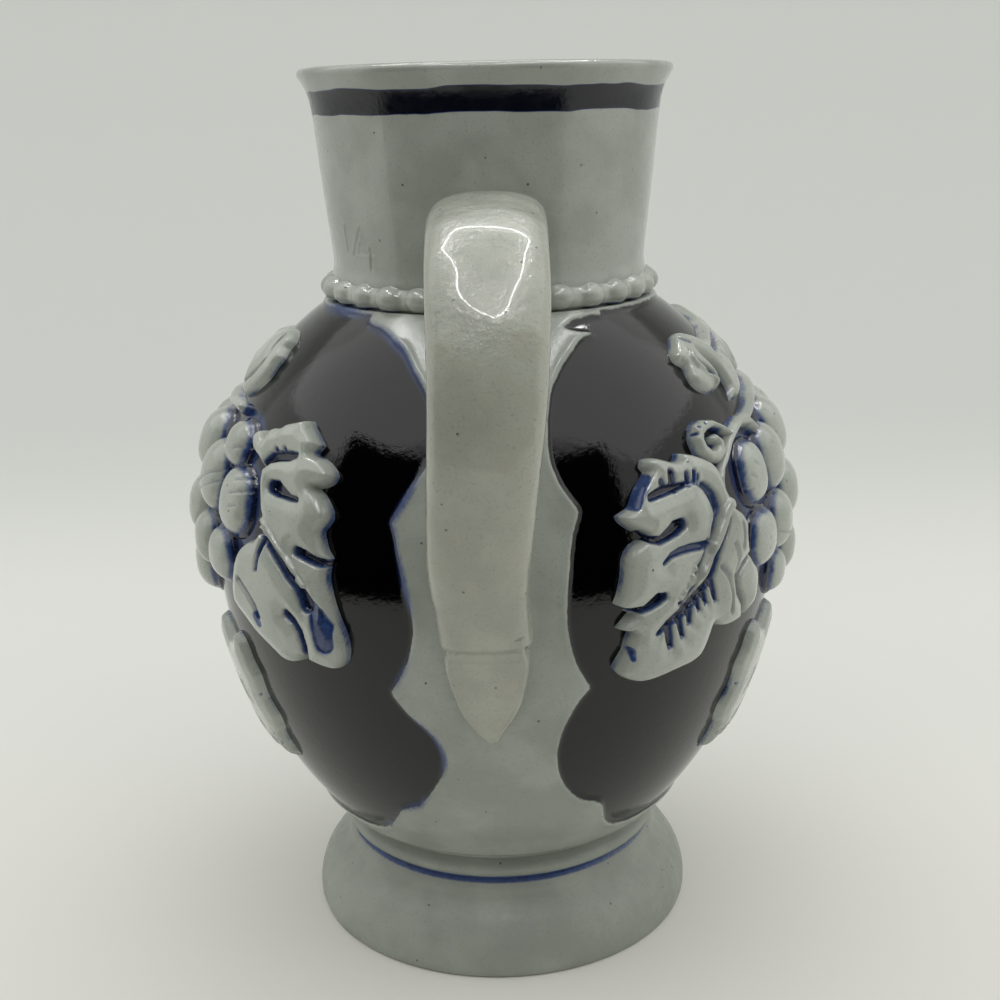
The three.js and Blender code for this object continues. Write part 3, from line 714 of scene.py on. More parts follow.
def sprig(name, half, node, inside, shape, span, cell):
    """A patch of relief. inside(u, z) is the distance inside its outline, shape(u, z, inside) gives its
    height and its cobalt, and span is its (lowest u, highest u, lowest z, highest z)."""
    u0, u1, z0, z1 = span
    columns, rows = int((u1 - u0) / cell), int((z1 - z0) / cell)
    bpy.ops.mesh.primitive_grid_add(x_subdivisions=columns, y_subdivisions=rows, size=1)
    patch = bpy.context.object
    patch.name = name
    patch.scale = ((u1 - u0) * MM, (z1 - z0) * MM, 1)
    patch.location = ((u0 + u1) / 2 * MM, (z0 + z1) / 2 * MM, 0)
    apply_place()
    p = points_of(patch)
    depth = inside(p[:, 0], p[:, 1])
    use_mode("VERT")
    edit(patch, ("vertices", depth < -OVERHANG), (bpy.ops.mesh.delete, dict(type="VERT")))
    modify(patch, "SOLIDIFY", thickness=1 * MM, offset=-1)
    p = points_of(patch)
    top = p[:, 2] > -0.5
    height, cobalt = shape(p[:, 0], p[:, 1], inside(p[:, 0], p[:, 1]))
    height = np.where(top, height, -SUNK - 0.4)
    move_points(patch, on_belly(p[:, 0], p[:, 1], height, half))
    paint_points(patch, "cobalt", np.clip(cobalt, 0, 1))
    edit(patch, None, FACE_OUT)
    return finish_piece(patch, relief_glaze, "blue_washed_relief", node)


def carve(u, z, height, cobalt, strokes, soft=0.42):
    """Presses strokes into a relief. Each is (depth, cobalt, points of (u, z, half width)).
    A negative depth raises, and negative cobalt wipes the colour off."""
    cut, lift = np.zeros(u.shape), np.zeros(u.shape)
    for depth, blue, stroke in strokes:
        away = distance_to_stroke(u, z, stroke)
        press = 1 - smooth((away + 0.1) / soft)
        cut, lift = np.maximum(cut, depth * press), np.maximum(lift, -depth * press)
        wash = 1 - smooth((away + 0.05) / (soft * 0.9))
        cobalt = np.maximum(cobalt, blue * wash) if blue > 0 else cobalt * (1 + blue * press)
    return height - cut + lift, cobalt


def patchy(u, z):
    """A slow 0 to 1 change over the relief, for cobalt that has run unevenly."""
    return 0.5 + 0.3 * np.sin(u * 0.83 + 1.7 * np.sin(z * 0.31)) + 0.2 * np.sin(z * 1.07 + u * 0.4)


def leaf_shape(strokes, top=RELIEF, puff=0.6):
    """A leaf that swells between its deep grooves and falls off to a rounded edge."""
    deep = [stroke for depth, _, stroke in strokes if depth >= 0.8]

    def shape(u, z, depth):
        room = depth
        for stroke in deep:
            room = np.minimum(room, distance_to_stroke(u, z, stroke) + 0.35)
        height = -SUNK + (top - puff + SUNK) * edge_rise(depth, 0.9) + puff * smooth(room / 2.4)
        cobalt = (0.1 + 0.5 * patchy(u, z)) * (1 - smooth((depth - 0.05) / 0.25))
        height, cobalt = carve(u, z, height, cobalt, strokes)
        return np.where(depth > 0.4, np.clip(height, 0.15, None), height), cobalt
    return shape


def mirrored(points):
    """Points given as seen on the other half, counted from the handle, as points of the one design."""
    return [(HALF_TURN - p[0], *p[1:]) for p in points]


LEAF_A = [
    (20.6, 74.3, 0), (20.2, 73.5), (20.7, 72.9), (19.1, 71.6), (18.1, 70.4), (17.5, 69.4), (16.6, 68.9),
    (15.5, 68.5, 0), (15.7, 67.9), (16.8, 67), (18.2, 66.2), (18.9, 65.8, 0), (17.9, 65.3), (17, 64.9),
    (16.3, 64.2), (15.9, 63.4), (15.7, 61.7), (15.4, 60.2), (15, 58.8), (14.4, 57.7, 0), (15.5, 57.1),
    (16.9, 56.7, 0), (16.2, 56.1), (15, 54.9, 0), (16, 54.4), (16.8, 54.4, 0), (16.3, 53.1), (16, 51.8),
    (15.3, 50.7), (14.7, 49.7, 0), (15.2, 48.8), (16.4, 48), (18.2, 47.4), (20.1, 47.4), (22.2, 47.7),
    (24.2, 48), (26.2, 48.3), (27.8, 49.1), (28.7, 50.5), (29.6, 52.8, 0), (30.4, 52.1), (32, 51.6),
    (34.4, 51.7), (36.5, 52.3), (38.7, 53.4), (39.4, 55.9), (38.9, 58.1), (37.1, 60.1), (36.7, 62.5),
    (36.8, 64.3), (35.7, 65.9), (34.4, 66.8), (33.9, 67.9), (33.3, 68.8), (33, 70.1), (32.4, 71.6),
    (31.5, 72.6), (29.7, 73.5), (27.9, 74.1), (26.5, 74.3, 0), (26, 73.5, 0), (24.9, 73.6), (23.3, 74.1),
    (22, 74.4),
]
STROKES_A = [
    (1.3, 1, [(18, 66.2, 0.22), (19.2, 65.4, 0.25), (20.5, 65.1, 0.35), (21.8, 65.6, 0.55),
        (22.9, 66.1, 0.75), (24, 66.4, 0.55)]),
    (1.3, 1, [(14.3, 57.7, 0.2), (16.1, 57.4, 0.25), (17.9, 57.3, 0.3), (18.9, 57.7, 0.5),
        (19.9, 58.2, 0.65), (20.8, 58.4, 0.4)]),
    (1, 0.95, [(19.9, 70, 0.3), (21.2, 70.3, 0.42), (22.7, 70.5, 0.42), (24.2, 70.6, 0.3),
        (25.6, 70.7, 0.12)]),
    (0.4, 0.35, [(24.2, 70.6, 0.2), (26.3, 70.8, 0.2), (27.7, 70.4, 0.25), (28.6, 70, 0.3)]),
    (1, 0.75, [(28.6, 70, 0.35), (29.3, 69.3, 0.55), (29.9, 68.4, 0.7), (30.2, 67.3, 0.65),
        (30, 66.3, 0.45), (29.2, 65.1, 0.3), (28.5, 63.8, 0.15)]),
    (0.6, 0.9, [(21.7, 71.5, 0.25), (22.2, 70.5, 0.35)]),
    (0.7, 0.95, [(23.3, 72.2, 0.35), (23.6, 70.6, 0.5)]),
    (0.5, 0.85, [(25.8, 71.8, 0.2), (26, 70.7, 0.3)]),
    (0.5, 0.8, [(27, 71.8, 0.15), (26.9, 70.7, 0.22)]),
    (0.4, 0.7, [(27.6, 71.4, 0.1), (27.5, 70.5, 0.15)]),
    (0.15, 0.65, [(20.1, 72.4, 0.5), (18.7, 71.1, 0.8), (17.7, 69.5, 0.6)]),
    (0.8, 0.75, [(20.9, 62.4, 0.1), (21.9, 63.1, 0.22), (23.2, 63.4, 0.32), (25, 63.5, 0.35),
        (26.5, 63.4, 0.35), (27.8, 63.4, 0.3)]),
    (0.8, 0.8, [(27.9, 63.6, 0.3), (27.6, 62.5, 0.35), (26.8, 61.4, 0.3), (26, 60.7, 0.35),
        (25.7, 59.7, 0.3), (25, 58.9, 0.3), (24.1, 58.1, 0.25), (23.2, 57.2, 0.2)]),
    (0.9, 0.95, [(32.1, 65.5, 0.2), (31.6, 64.4, 0.22), (30.5, 63, 0.25), (29.5, 61.8, 0.3),
        (28.9, 60.6, 0.35), (28.1, 59.3, 0.4), (27.1, 58.4, 0.55), (25.8, 57.5, 0.7), (24.5, 56.5, 0.7),
        (23, 55.6, 0.6), (21.5, 54.9, 0.45), (20.1, 53.9, 0.2)]),
    *[(0.8, 0.9, comb) for comb in (
        [(28.3, 58.7, 0.35), (28.7, 57.5, 0.35), (29.2, 56.1, 0.15)],
        [(26.9, 57.6, 0.35), (27.5, 56.2, 0.2)],
        [(25.9, 57, 0.3), (26.3, 55.6, 0.15)],
        [(24.7, 55.9, 0.4), (24.8, 54.3, 0.3)],
        [(23.1, 55.2, 0.35), (23.4, 54.1, 0.3), (23.9, 52.7, 0.2)],
        [(21.5, 54.4, 0.45), (21.8, 53.1, 0.45), (22.1, 51.8, 0.3)],
    )],
    (0.9, 0.35, [(36.1, 60, 0.3), (34.5, 59.2, 0.3), (33.4, 58, 0.35), (33.9, 56.1, 0.35),
        (35.2, 54.3, 0.3), (35.3, 52.7, 0.25)]),
    (0.5, 0.3, [(30.1, 60.2, 0.2), (31.4, 58.5, 0.22), (32.3, 56.1, 0.2), (32, 54, 0.15)]),
    (0.4, 0.2, [(32.6, 62.4, 0.2), (33.2, 60.4, 0.2), (32.8, 58.7, 0.15)]),
    (0.4, 0.25, [(34.6, 64.5, 0.15), (34.7, 63, 0.2), (34.2, 61.6, 0.12)]),
    (0.2, 0.8, [(16.6, 52.3, 0.2), (16.7, 51.3, 0.2)]),
    (0.2, 0.55, [(22.5, 48.1, 0.12), (24.2, 48.2, 0.15), (26, 48.2, 0.12)]),
    (-0.7, -0.95, [(32.4, 67.3, 0.5), (31, 66, 0.45), (29.9, 64.6, 0.4), (28.9, 63.4, 0.38),
        (28, 62.4, 0.35), (27.2, 61.3, 0.32), (26.5, 60.3, 0.3), (25.5, 59.4, 0.26), (24.4, 58.6, 0.22),
        (23.4, 57.9, 0.15)]),
    *[(-0.5, -0.6, [(a, b, 0.2), (a - 0.5, b + 0.35, 0.1)])
      for a, b in ((25.8, 60.7), (25.2, 59.9), (24.8, 59.1), (24.1, 58.2), (23.5, 57.5))],
]

LEAF_B = [
    (35.8, 75.8, 0), (34.9, 77.1), (33, 77.4), (32.1, 77.9), (30.4, 78.3), (28.6, 78.6), (27.7, 77.9),
    (26.3, 77.1), (25.1, 76.2, 0), (25.9, 75.1, 0), (24.4, 74.8), (23.1, 74.3), (22, 73.6), (21.6, 73),
    (22, 72.3), (23.2, 71.7), (24.6, 71.4, 0), (23.4, 70.9), (22.3, 69.9), (21.6, 69), (21.5, 68.2),
    (22.1, 67.3), (22.7, 66.5), (22.4, 65.5), (21.9, 64.4), (21.2, 63.6), (20.8, 63, 0), (21.5, 62.3),
    (21.7, 61), (21.4, 59.4), (21, 57.7), (20.3, 55.8), (19.6, 54), (19.4, 52.2), (19.8, 50.4),
    (20.6, 49.6), (22.2, 49.5), (24, 49.8), (25.6, 50.2), (26.3, 50.4, 0), (27, 49.3), (28.2, 49),
    (29.7, 49.2), (31.6, 50.2), (34.5, 51.6), (36.2, 52.7), (38.5, 54), (39.4, 54.9), (39.6, 56.6),
    (39, 59.2), (38.3, 60.9), (37.2, 62.4), (35.5, 63.6), (33.9, 64.1, 0), (33.1, 65), (32.4, 66.3),
    (33.1, 67.5), (33.6, 68.9), (34.3, 70.8), (34.5, 72.2), (35.6, 72.9), (37.6, 73.6), (38.6, 74.6),
    (39, 75.6), (38.3, 76.3), (37.1, 76.6),
]
STROKES_B = [
    (1, 1, [(33.9, 72.8, 0.35), (32.6, 73.7, 0.45), (31, 74.1, 0.45), (29.1, 74.3, 0.4), (27.9, 74.5, 0.15)]),
    (0.5, 0.8, [(32, 74.7, 0.15), (31.5, 74.1, 0.25)]),
    (0.5, 0.7, [(30.4, 75, 0.12), (30, 74.3, 0.25)]),
    (1.3, 1, [(31.4, 70.6, 0.6), (30.1, 70.5, 0.75), (28.9, 70.2, 0.45), (27.4, 69.8, 0.18),
        (26.3, 69.8, 0.1)]),
    (1.3, 1, [(25.6, 64, 0.45), (24.2, 63.7, 0.5), (22.8, 63.3, 0.42), (21.6, 63, 0.36), (20.5, 62.9, 0.3)]),
    (0.6, 0.85, [(31.9, 66.3, 0.15), (30.4, 65.7, 0.15), (29.2, 64.7, 0.15), (28, 63.6, 0.15),
        (26.6, 62.3, 0.15), (25.2, 61.1, 0.12)]),
    (1, 0.95, [(32.9, 65.5, 0.2), (31.7, 64.9, 0.3), (30.2, 63.7, 0.4), (29.1, 62.8, 0.45),
        (27.9, 61.8, 0.5), (26.9, 60.8, 0.55), (25.7, 60, 0.6), (24.9, 58.9, 0.7), (24.3, 57.6, 0.8)]),
    (0.5, 0.8, [(24.6, 59.5, 0.5), (23.7, 58.3, 0.8), (22.7, 56.8, 1.1), (22, 55.1, 1.3), (21.8, 53.3, 1.2)]),
    (0.6, 0.8, [(31.5, 64.3, 0.2), (31.9, 62.9, 0.2), (32.4, 60.7, 0.15)]),
    (1.1, 1, [(27.6, 55.9, 0.5), (26.6, 55.3, 0.45), (25.7, 54.1, 0.4), (25.3, 52.5, 0.38),
        (25.2, 50.5, 0.35)]),
    (0.6, 0.4, [(36.4, 58.6, 0.25), (34.7, 57.4, 0.25), (33.2, 56, 0.25), (32.5, 54.7, 0.2)]),
    (0.1, 0.7, [(33, 54.6, 0.5), (32.5, 53.8, 0.4)]),
    (-0.7, -0.95, [(32.2, 66.4, 0.4), (31.1, 66.1, 0.38), (29.6, 65.2, 0.35), (28.1, 63.9, 0.32),
        (26.6, 62.5, 0.28), (25.1, 61.2, 0.22), (24, 60.3, 0.15)]),
]

# Grapes: the middle of each, half its width round the belly, half its height, and how far it stands out
GRAPES = [
    (42.6, 69.2, 3.9, 4.1, 2.2), (43.5, 60.4, 4, 3.9, 2.2), (51.3, 69.4, 4.6, 4.5, 2.9),
    (51.4, 60.8, 4.4, 4.1, 2.9), (51.5, 53.6, 3.6, 3, 2.3), (59.6, 71.4, 4.9, 4.5, 3.5),
    (60, 63, 4.9, 4.6, 3.7), (60.4, 54.8, 4.9, 4.4, 3.5), (69.2, 71.4, 4.9, 4.5, 3.6),
    (69.2, 62.6, 4.9, 4.6, 3.7), (68.4, 54.4, 4.9, 4.4, 3.4), (84.3, 73.8, 3.8, 2.9, 2.3),
    (87.4, 67.2, 4.4, 4.4, 2.3), (77.8, 68.6, 4.6, 4.8, 3), (83.6, 59.4, 3.9, 3.6, 2.4),
    (75.6, 59.6, 4.1, 3.9, 3),
]
SCRATCHES = [
    [(41.2, 70.5), (41.9, 70)], [(39.9, 69.3), (40.5, 68.8)], [(39, 67.7), (39.9, 67.4)],
    [(39.8, 63.6), (41.2, 63.7)], [(42.3, 60.8), (42.5, 60.7)], [(42.3, 59.5), (42.5, 59.4)],
    [(47, 60.2), (52, 58.8)], [(48.9, 71.2), (49.1, 71.1)], [(56.2, 69.5), (56.4, 69.4)],
]
SCRATCHES_SEEN_LEFT = [
    [(40.3, 69.9), (37.2, 70.6)], [(40.4, 68.3), (37.2, 69.1)], [(40.2, 66.7), (38.7, 67.1)],
    [(42.9, 73.2), (40.3, 74.1), (39.3, 74.9)], [(38.7, 73.7), (40.3, 72.5)],
    [(45.4, 71), (46.4, 70), (51.4, 67.6)], [(45.3, 69.5), (48.2, 67.7), (54.3, 65.4)],
]


def from_grape(u, z, grape):
    """The distance from a grape's middle, 1 at its edge, which is between an ellipse and a rounded box."""
    gu, gz, long, high = grape[:4]
    return (np.abs((u - gu) / long) ** 2.5 + np.abs((z - gz) / high) ** 2.5) ** 0.4


def bunch_inside(u, z):
    best = np.full(u.shape, -9.0)
    for grape in GRAPES:
        best = np.maximum(best, (1 - from_grape(u, z, grape)) * min(grape[2:4]))
    return np.minimum(best + 0.4, 5)


def bunch_shape(u, z, depth):
    """Plump cushions side by side, with cobalt pooled in the valleys between them."""
    first, second = np.zeros(u.shape), np.zeros(u.shape)
    for grape in GRAPES:
        rise = grape[4] * np.clip(1 - from_grape(u, z, grape) ** 2.6, 0, 1) ** 0.55
        second = np.maximum(second, np.minimum(first, rise))
        first = np.maximum(first, rise)
    crease = smooth((first - second) / 0.8)
    height = np.maximum(first, 0.5) - 0.5 * (1 - crease) * smooth(second)
    height = -SUNK + (height + SUNK) * edge_rise(depth, 0.3)
    valley = (1 - smooth((first - second) / 0.5)) * smooth(1.6 - first / 2)
    cobalt = np.clip(1.15 - first / 1.3, 0, 1) + 0.6 * valley
    cobalt += 0.25 * patchy(u * 1.4, z * 1.4) * (1 - smooth((first - 1.2) / 1.0))
    lines = SCRATCHES + [mirrored(line) for line in SCRATCHES_SEEN_LEFT]
    dashes = [(0.2, 0.3, [(*point, 0.1) for point in line]) for line in lines]
    dashes.append((0.1, 0.8, [(38.8, 61.3, 0.4), (38.8, 61.1, 0.4)]))
    return carve(u, z, height, cobalt, dashes, 0.26)


TOP_LEAF = [
    (42.7, 86.6, 0), (39.8, 86.3), (37.6, 85.5), (35.9, 84.6), (35.6, 83.9), (36.1, 83.5), (37, 83),
    (36.5, 81.8), (36.5, 81.1), (37.1, 80.5), (38, 80), (39.3, 79.6), (41, 79.6), (42.6, 79.7),
    (43.9, 80.1), (44.6, 81.2), (44.2, 82.6), (43.2, 83.9, 0), (44.8, 83.4), (46.4, 82.3), (47.2, 81.2),
    (47.3, 80), (47, 78.9), (45.6, 77.7, 0), (47.2, 77.8), (48.8, 77.6), (51.2, 78.2), (53.4, 79.8),
    (55.2, 81.4, 0), (57.4, 79.4), (59.2, 79.6), (61, 81.8, 0), (63.4, 79.5), (65.4, 79.8), (67, 81.6, 0),
    (69.4, 79.8), (72.4, 78.9), (75.7, 78.5), (78.9, 79.5), (80.7, 80.6), (82.1, 81.8), (82.1, 83),
    (82.5, 84.2), (81.5, 85.2), (81.3, 86.2), (79.1, 86.9), (75.6, 87.2), (72, 86.7), (67, 86),
    (60.5, 85.8), (54, 85.4), (48.8, 85), (46, 85.9),
]
STROKES_TOP = [
    (-0.6, -0.8, [(41.8, 79.9, 0.3), (41.9, 80.7, 0.3), (41, 81.5, 0.3), (39.2, 82.3, 0.3),
        (38.6, 82.7, 0.3), (38.6, 83.3, 0.3), (39, 83.9, 0.25)]),
    (1.2, 0.85, [(40.3, 83.6, 0.3), (39.9, 83, 0.45), (40.6, 82.2, 0.55), (41.6, 81.7, 0.55),
        (42.6, 81, 0.5), (42.6, 80.5, 0.35)]),
    (0.4, 0.5, [(40.3, 85.6, 0.12), (42.2, 84.8, 0.15)]),
    (1.2, 0.9, [(77.8, 85.7, 0.3), (76.9, 85.1, 0.35), (76.9, 84.5, 0.35), (78, 83.2, 0.35),
        (77.2, 81.9, 0.35), (75.3, 80.9, 0.3), (72.8, 79.6, 0.25)]),
    (0.8, 0.9, [(49.4, 83.2, 0.2), (53.6, 83.7, 0.3), (58.4, 84.1, 0.3), (63.4, 84.2, 0.3),
        (68.4, 84.4, 0.25)]),
    *[(0.6, 0.7, [(a, 83.9, 0.22), (b, 80.8, 0.12)])
      for a, b in ((53, 52), (58.4, 57.4), (63.2, 63.6), (68.2, 69.6))],
]
LOW_MIDDLE = 64.4
LOW_HALF = [
    (0, 27.4, 0), (1.4, 29.6), (3, 30.8, 0), (5.6, 28.8), (8.4, 27.8, 0), (9, 30.4), (10.6, 32.2, 0),
    (13.8, 30), (17, 28.6, 0), (17.2, 31), (18.8, 32.6, 0), (22.4, 31), (25.6, 30.2, 0), (24.4, 32.2),
    (24.4, 34.2, 0), (25.4, 35.6), (25.4, 37.4, 0), (24, 39.4), (23.8, 41.4, 0), (23.8, 43.2),
    (22.6, 44.8, 0), (21.6, 47.2), (19.6, 48.4, 0), (17.2, 46.8), (15.2, 46.2, 0), (12.8, 47.8),
    (10.6, 48.4, 0), (7.6, 46.6), (4.4, 46.2, 0), (2.2, 44.8),
]
LOW_LEAF = [*[(LOW_MIDDLE + p[0], *p[1:]) for p in LOW_HALF], (LOW_MIDDLE, 44.4, 0),
            *[(LOW_MIDDLE - p[0], *p[1:]) for p in LOW_HALF[:0:-1]]]


def fan_strokes(middle, top, tips):
    """Veins of a leaf: a dark groove beside each pale rib, out from the stalk, with side veins."""
    grooves, veins = [], []
    for tip_u, tip_z in tips:
        half_u, half_z = (middle + tip_u) / 2, (top + tip_z) / 2 - 1
        for side in (-0.5, 0.5):
            grooves.append((0.6, 0.85, [(middle + side, top, 0.25), (half_u + side, half_z, 0.28),
                                        (tip_u + side * 0.3, tip_z, 0.1)]))
        veins.append((-0.55, -0.9, [(middle, top, 0.35), (half_u, half_z, 0.25), (tip_u, tip_z, 0.1)]))
        for share in (0.45, 0.7):
            at_u, at_z = middle + (tip_u - middle) * share, top + (tip_z - top) * share - 1
            for side in (-1, 1):
                end_u = at_u + 1.2 * side + 0.1 * (tip_u - middle)
                veins.append((0.4, 0.55, [(at_u, at_z, 0.18), (end_u, at_z - 2.2, 0.08)]))
    return grooves + veins


LOW_TIPS = [
    (41.4, 40.2), (41.2, 32.6), (47.9, 30.6), (56.2, 29.8), (64.4, 29.4), (72.6, 29.8), (80.9, 30.6),
    (87.6, 32.6), (87.4, 40.2),
]
STROKES_LOW = fan_strokes(LOW_MIDDLE, 43.8, LOW_TIPS)

STEM = [
    (32.6, 66.4, 0.75), (32.9, 68.8, 0.75), (33.2, 70.1, 0.75), (34, 71.3, 0.75), (35.1, 72, 0.8),
    (36.2, 72.8, 0.8), (37.5, 73.7, 0.8), (39.1, 74.4, 0.85), (41, 75, 0.85), (43.2, 75.4, 0.85),
    (46, 75.3, 0.8), (50, 75.9, 0.8), (54, 76.6, 0.8), (64, 77.2, 0.85), (72, 77.1, 0.8), (80, 77.5, 0.75),
]
BRANCH = [(43.2, 75.3, 0.75), (46.4, 74.8, 0.75), (48.2, 73.6, 0.7)]
THORN = [(33.2, 67.2, 0.6), (35.4, 67.4, 0.25)]
TENDRIL = [
    (38.9, 74.4, 0.6), (37, 75.5, 0.7), (34.9, 76.2, 0.85), (33, 76.3, 0.95), (31.6, 75.9, 1), (31, 75, 1),
    (31.2, 73.9, 1), (32.3, 73, 1), (33.7, 72.7, 1), (34.8, 73.2, 1), (35.1, 74, 0.95), (34.4, 74.7, 0.8),
    (33.6, 74.7, 0.7),
]
STROKES_TENDRIL = [
    (1.3, 1, [(32.4, 74.2, 0.18), (32.5, 74.9, 0.24), (33.1, 75.4, 0.24), (33.9, 75.5, 0.24),
        (34.7, 75.6, 0.24), (36.1, 75.2, 0.24), (37, 74.4, 0.22), (37, 73.7, 0.18)]),
    *[(0.5, 0.8, [(a, b, 0.1), (a + 0.2, b, 0.1)]) for a, b in ((31.5, 76.3), (32.9, 76.5), (30.6, 75.7))],
]


def cord_inside(*lines):
    return lambda u, z: -np.min([distance_to_stroke(u, z, line) for line in lines], axis=0)


def cord_shape(top, strokes=()):
    def shape(u, z, depth):
        height = -SUNK + (top + SUNK) * edge_rise(depth, 0.85)
        cobalt = (0.35 + 0.5 * patchy(u, z)) * (1 - smooth((depth - 0.02) / 0.3))
        return carve(u, z, height, cobalt, strokes, 0.3)
    return shape


def span_of(points, margin=1.0):
    us, zs = [p[0] for p in points], [p[1] for p in points]
    return min(us) - margin, max(us) + margin, min(zs) - margin, max(zs) + margin


def build_ornaments():
    strokes_b = [(depth, blue, mirrored(stroke)) for depth, blue, stroke in STROKES_B]
    leaves = (
        ("handle_side_leaf", LEAF_A, leaf_shape(STROKES_A), 0.16),
        ("lip_side_leaf", mirrored(LEAF_B), leaf_shape(strokes_b), 0.16),
        ("top_leaf", TOP_LEAF, leaf_shape(STROKES_TOP, 1.7, 0.5), 0.18),
        ("low_leaf", LOW_LEAF, leaf_shape(STROKES_LOW, 1.6, 0.5), 0.22),
    )
    kinds = [(name, inside_of(line), shape, span_of(line), cell) for name, line, shape, cell in leaves]
    kinds += [
        ("grape_bunch", bunch_inside, bunch_shape, span_of(GRAPES, 6), 0.22),
        ("vine_stem", cord_inside(STEM, BRANCH, THORN), cord_shape(1.7), span_of(STEM, 1.6), 0.16),
        ("tendril", cord_inside(TENDRIL), cord_shape(1.8, STROKES_TENDRIL), span_of(TENDRIL, 1.8), 0.14),
    ]
    for half, side in enumerate(("right", "left")):
        for name, inside, shape, span, cell in kinds:
            sprig(f"{side}_{name}_relief", half, f"{side}_{name}", inside, shape, span, cell)


# The handle's tail, laid on the belly and pressed down to a point

TAIL = [
    (-5.9, 58.7, 0), (3.4, 58.7, 0), (3.5, 56), (3.85, 54.4), (3.7, 51.1), (3.1, 47.6), (2.1, 45),
    (0.9, 42.8), (0.2, 41, 0), (-1.3, 40.3, 0), (-3.1, 42.6), (-4.8, 45.8), (-5.6, 48.9), (-6.15, 52.4),
    (-6.15, 54.5), (-5.9, 55.7),
]


def tail_shape(u, z, depth):
    """Its face runs on from the strap's in one slope, between thin raised rims, down to a blunt tip."""
    face = 47.1 - 0.556 * (56 - z) - belly_radius(z) - 0.08 - 0.25 * smooth((z - 55.9) / 0.5)
    height = -SUNK + (face + SUNK) * edge_rise(depth, 0.7 + 0.4 * smooth((z - 41) / 9))
    height += 0.22 * np.exp(-((depth - 0.6) / 0.28) ** 2) * smooth((56 - z) / 2)
    crease = smooth((z - 54.6) / 0.4) * smooth((57.6 - z) / 0.3)
    crease *= smooth((u + 5.4) / 0.6) * smooth((2.6 - u) / 0.6)
    grain = 0.07 * np.sin(u * 7.1 + 2 * np.sin(z * 3.1)) * np.sin(z * 6.3 + u) * smooth((-u - 2.4) / 1.5)
    return height - 0.15 * crease + grain, np.zeros(u.shape)


def build_tail():
    tail = sprig("handle_tail", 0, "handle_tongue", inside_of(TAIL), tail_shape, span_of(TAIL), 0.2)
    tail.data.materials[0] = handle_glaze


build_foot()
build_belly()
build_neck()
build_collar()
build_handle()
build_tail()
build_ornaments()


# Stage: a pale sweep of paper, a light tent, a shield-shaped lamp overhead and the dark side of the room

def paper_with_painted_shade():
    # Matt paper, palest in front, with painted shade that turns it a little greyer up the sweep behind the
    # pitcher.
    material, tree, place = new_finish("paper_with_painted_shade")
    back = add(tree, "ShaderNodeSeparateXYZ", {0: place}).outputs[1]
    colour = toned(tree, paint("#eceae5"), back,
                   (-20 * MM, 90 * MM, "#e0e0dc"), (80 * MM, 330 * MM, "#cccdca"))
    add(tree, "ShaderNodeOutputMaterial", {"Surface": add(tree, "ShaderNodeBsdfDiffuse", {"Color": colour})})
    return material


SWEEP_HALF_WIDTH = 900
SWEEP_START = 230
SWEEP_BEND = 420
SWEEP_TOP = 1100


def build_stage():
    arc = [math.radians(4 * k) for k in range(23)]
    line = [(-SWEEP_HALF_WIDTH, 0),
            *[(SWEEP_START + SWEEP_BEND * math.sin(t), SWEEP_BEND * (1 - math.cos(t))) for t in arc],
            (SWEEP_START + SWEEP_BEND, SWEEP_TOP)]
    sweep = sheet("paper_sweep", [[(side * SWEEP_HALF_WIDTH, y, z) for y, z in line] for side in (-1, 1)])
    sweep.data.materials.append(paper_with_painted_shade())
    only(sweep)
    bpy.ops.object.shade_smooth()


LAMP_SIDE = [(25, -252), (45, -215), (85, -125), (110, -42), (130, -5), (148, 60), (160, 85), (110, 112)]
LAMP_FIGURE = [(0, -295), *LAMP_SIDE, (0, 116), *[(-x, y) for x, y in LAMP_SIDE[::-1]]]
LAMP_HEIGHT = 390
LAMP_TUBE = 3
LAMP_SIDES = 10
LAMP_GLOW = 45.0


def build_lamp_figure():
    """The thin shield-shaped lamp overhead that draws the bright line on the handle and the glaze."""
    line = curve_through([*LAMP_FIGURE, LAMP_FIGURE[0]], 12)[:-1]
    way = np.roll(line, -1, 0) - np.roll(line, 1, 0)
    way /= np.linalg.norm(way, axis=1)[:, None]
    turns = [2 * math.pi * k / LAMP_SIDES for k in range(LAMP_SIDES + 1)]
    ring = [(LAMP_TUBE * math.cos(t), LAMP_TUBE * math.sin(t)) for t in turns]
    rings = [[(x - wy * out, y + wx * out, LAMP_HEIGHT + up) for out, up in ring]
             for (x, y), (wx, wy) in zip(line, way)]
    lamp = sheet("shield_lamp", [*rings, rings[0]])
    glow, tree, _ = new_finish("lamp_glow")
    light = add(tree, "ShaderNodeEmission", {"Color": paint("#ffffff"), "Strength": LAMP_GLOW})
    add(tree, "ShaderNodeOutputMaterial", {"Surface": light})
    lamp.data.materials.append(glow)
    lamp.visible_camera = False
    lamp.visible_diffuse = False


ROOF_WIDTH, ROOF_DEPTH, ROOF_HEIGHT = 1800, 865, 520
ROOF_WATTS = 2.9
ROOM_GLOW = 0.95
CLOTH_COVER = 0.55


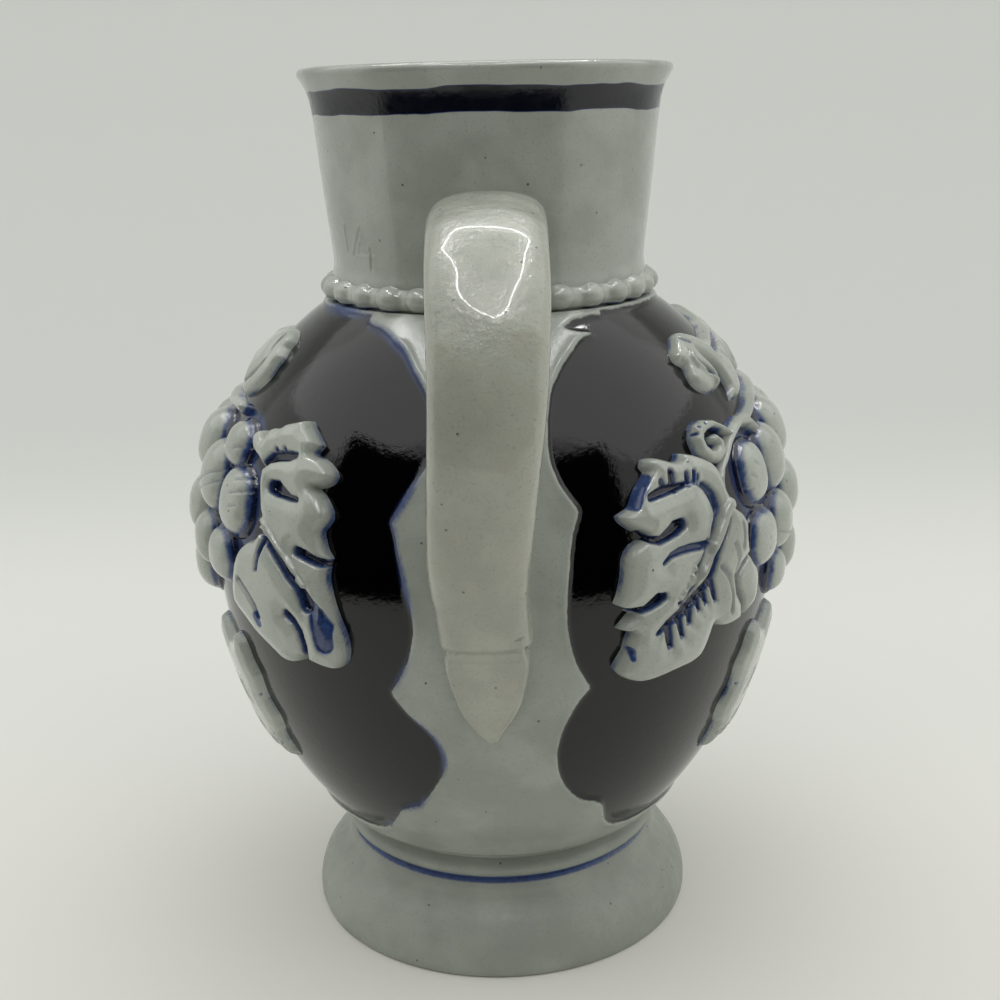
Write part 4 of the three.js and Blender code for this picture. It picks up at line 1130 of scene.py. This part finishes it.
def build_lights():
    roof = bpy.data.lights.new("tent_roof", "AREA")
    roof.shape = "RECTANGLE"
    roof.size, roof.size_y = ROOF_WIDTH * MM, ROOF_DEPTH * MM
    roof.energy = ROOF_WATTS
    new_piece("tent_roof", roof).location = (0, 17 * MM, ROOF_HEIGHT * MM)
    world = bpy.data.worlds.new("pale_room")
    bpy.context.scene.world = world
    world.use_nodes = True
    tree = world.node_tree
    tree.nodes.clear()
    shade = add(tree, "ShaderNodeBackground", {"Color": paint("#e4e6e2"), "Strength": ROOM_GLOW})
    add(tree, "ShaderNodeOutputWorld", {"Surface": shade.outputs[0]})


def dark_cloth():
    # Black cloth, which the glaze mirrors whole, but which lets some of the room's light through.
    material, tree, _ = new_finish("dark_cloth")
    cloth = add(tree, "ShaderNodeBsdfDiffuse", {"Color": paint("#060606")})
    gap = add(tree, "ShaderNodeBsdfTransparent")
    seen = add(tree, "ShaderNodeLightPath").outputs["Is Glossy Ray"]
    covered = add(tree, "ShaderNodeMath", [seen, CLOTH_COVER], operation="MAXIMUM")
    weave = add(tree, "ShaderNodeMixShader", [covered, gap, cloth])
    add(tree, "ShaderNodeOutputMaterial", {"Surface": weave})
    return material


# Degrees round from the handle, and the distance and height of each ring
DARK_FROM, DARK_TO = -68, 50
DARK_RINGS = [(205, 0.3), (250, 0.3), (262, 4), (264, 80), (264, 256)]


def build_dark_room():
    """The dark side of the room, behind the camera, which the glaze reflects as a dark middle."""
    turns = np.radians(np.linspace(DARK_FROM, DARK_TO, 40))
    rows = [[(r * math.sin(t), -r * math.cos(t), z) for t in turns] for r, z in DARK_RINGS]
    card = sheet("dark_room_side", rows)
    card.data.materials.append(dark_cloth())
    card.visible_camera = False


# The camera stands where the photograph was taken, a little above the rim, looking down at the handle

CAMERA_Y = -195.9
CAMERA_Z = 116.4
CAMERA_DOWN = 0.2772
CAMERA_ROLL = -0.0210
CAMERA_YAW = -0.0042
CAMERA_LENS = 50.5


def build_camera():
    data = bpy.data.cameras.new("photo_camera")
    data.lens = CAMERA_LENS
    data.sensor_width = 36
    data.clip_start = 0.01
    camera = new_piece("photo_camera", data)
    bpy.context.scene.camera = camera
    turn = (Matrix.Rotation(CAMERA_YAW, 4, "Z") @ Matrix.Rotation(math.pi / 2 - CAMERA_DOWN, 4, "X")
            @ Matrix.Rotation(CAMERA_ROLL, 4, "Z"))
    camera.matrix_world = Matrix.Translation((0, CAMERA_Y * MM, CAMERA_Z * MM)) @ turn


build_stage()
build_lights()
build_lamp_figure()
build_dark_room()
build_camera()
bpy.context.scene.view_settings.view_transform = "Standard"
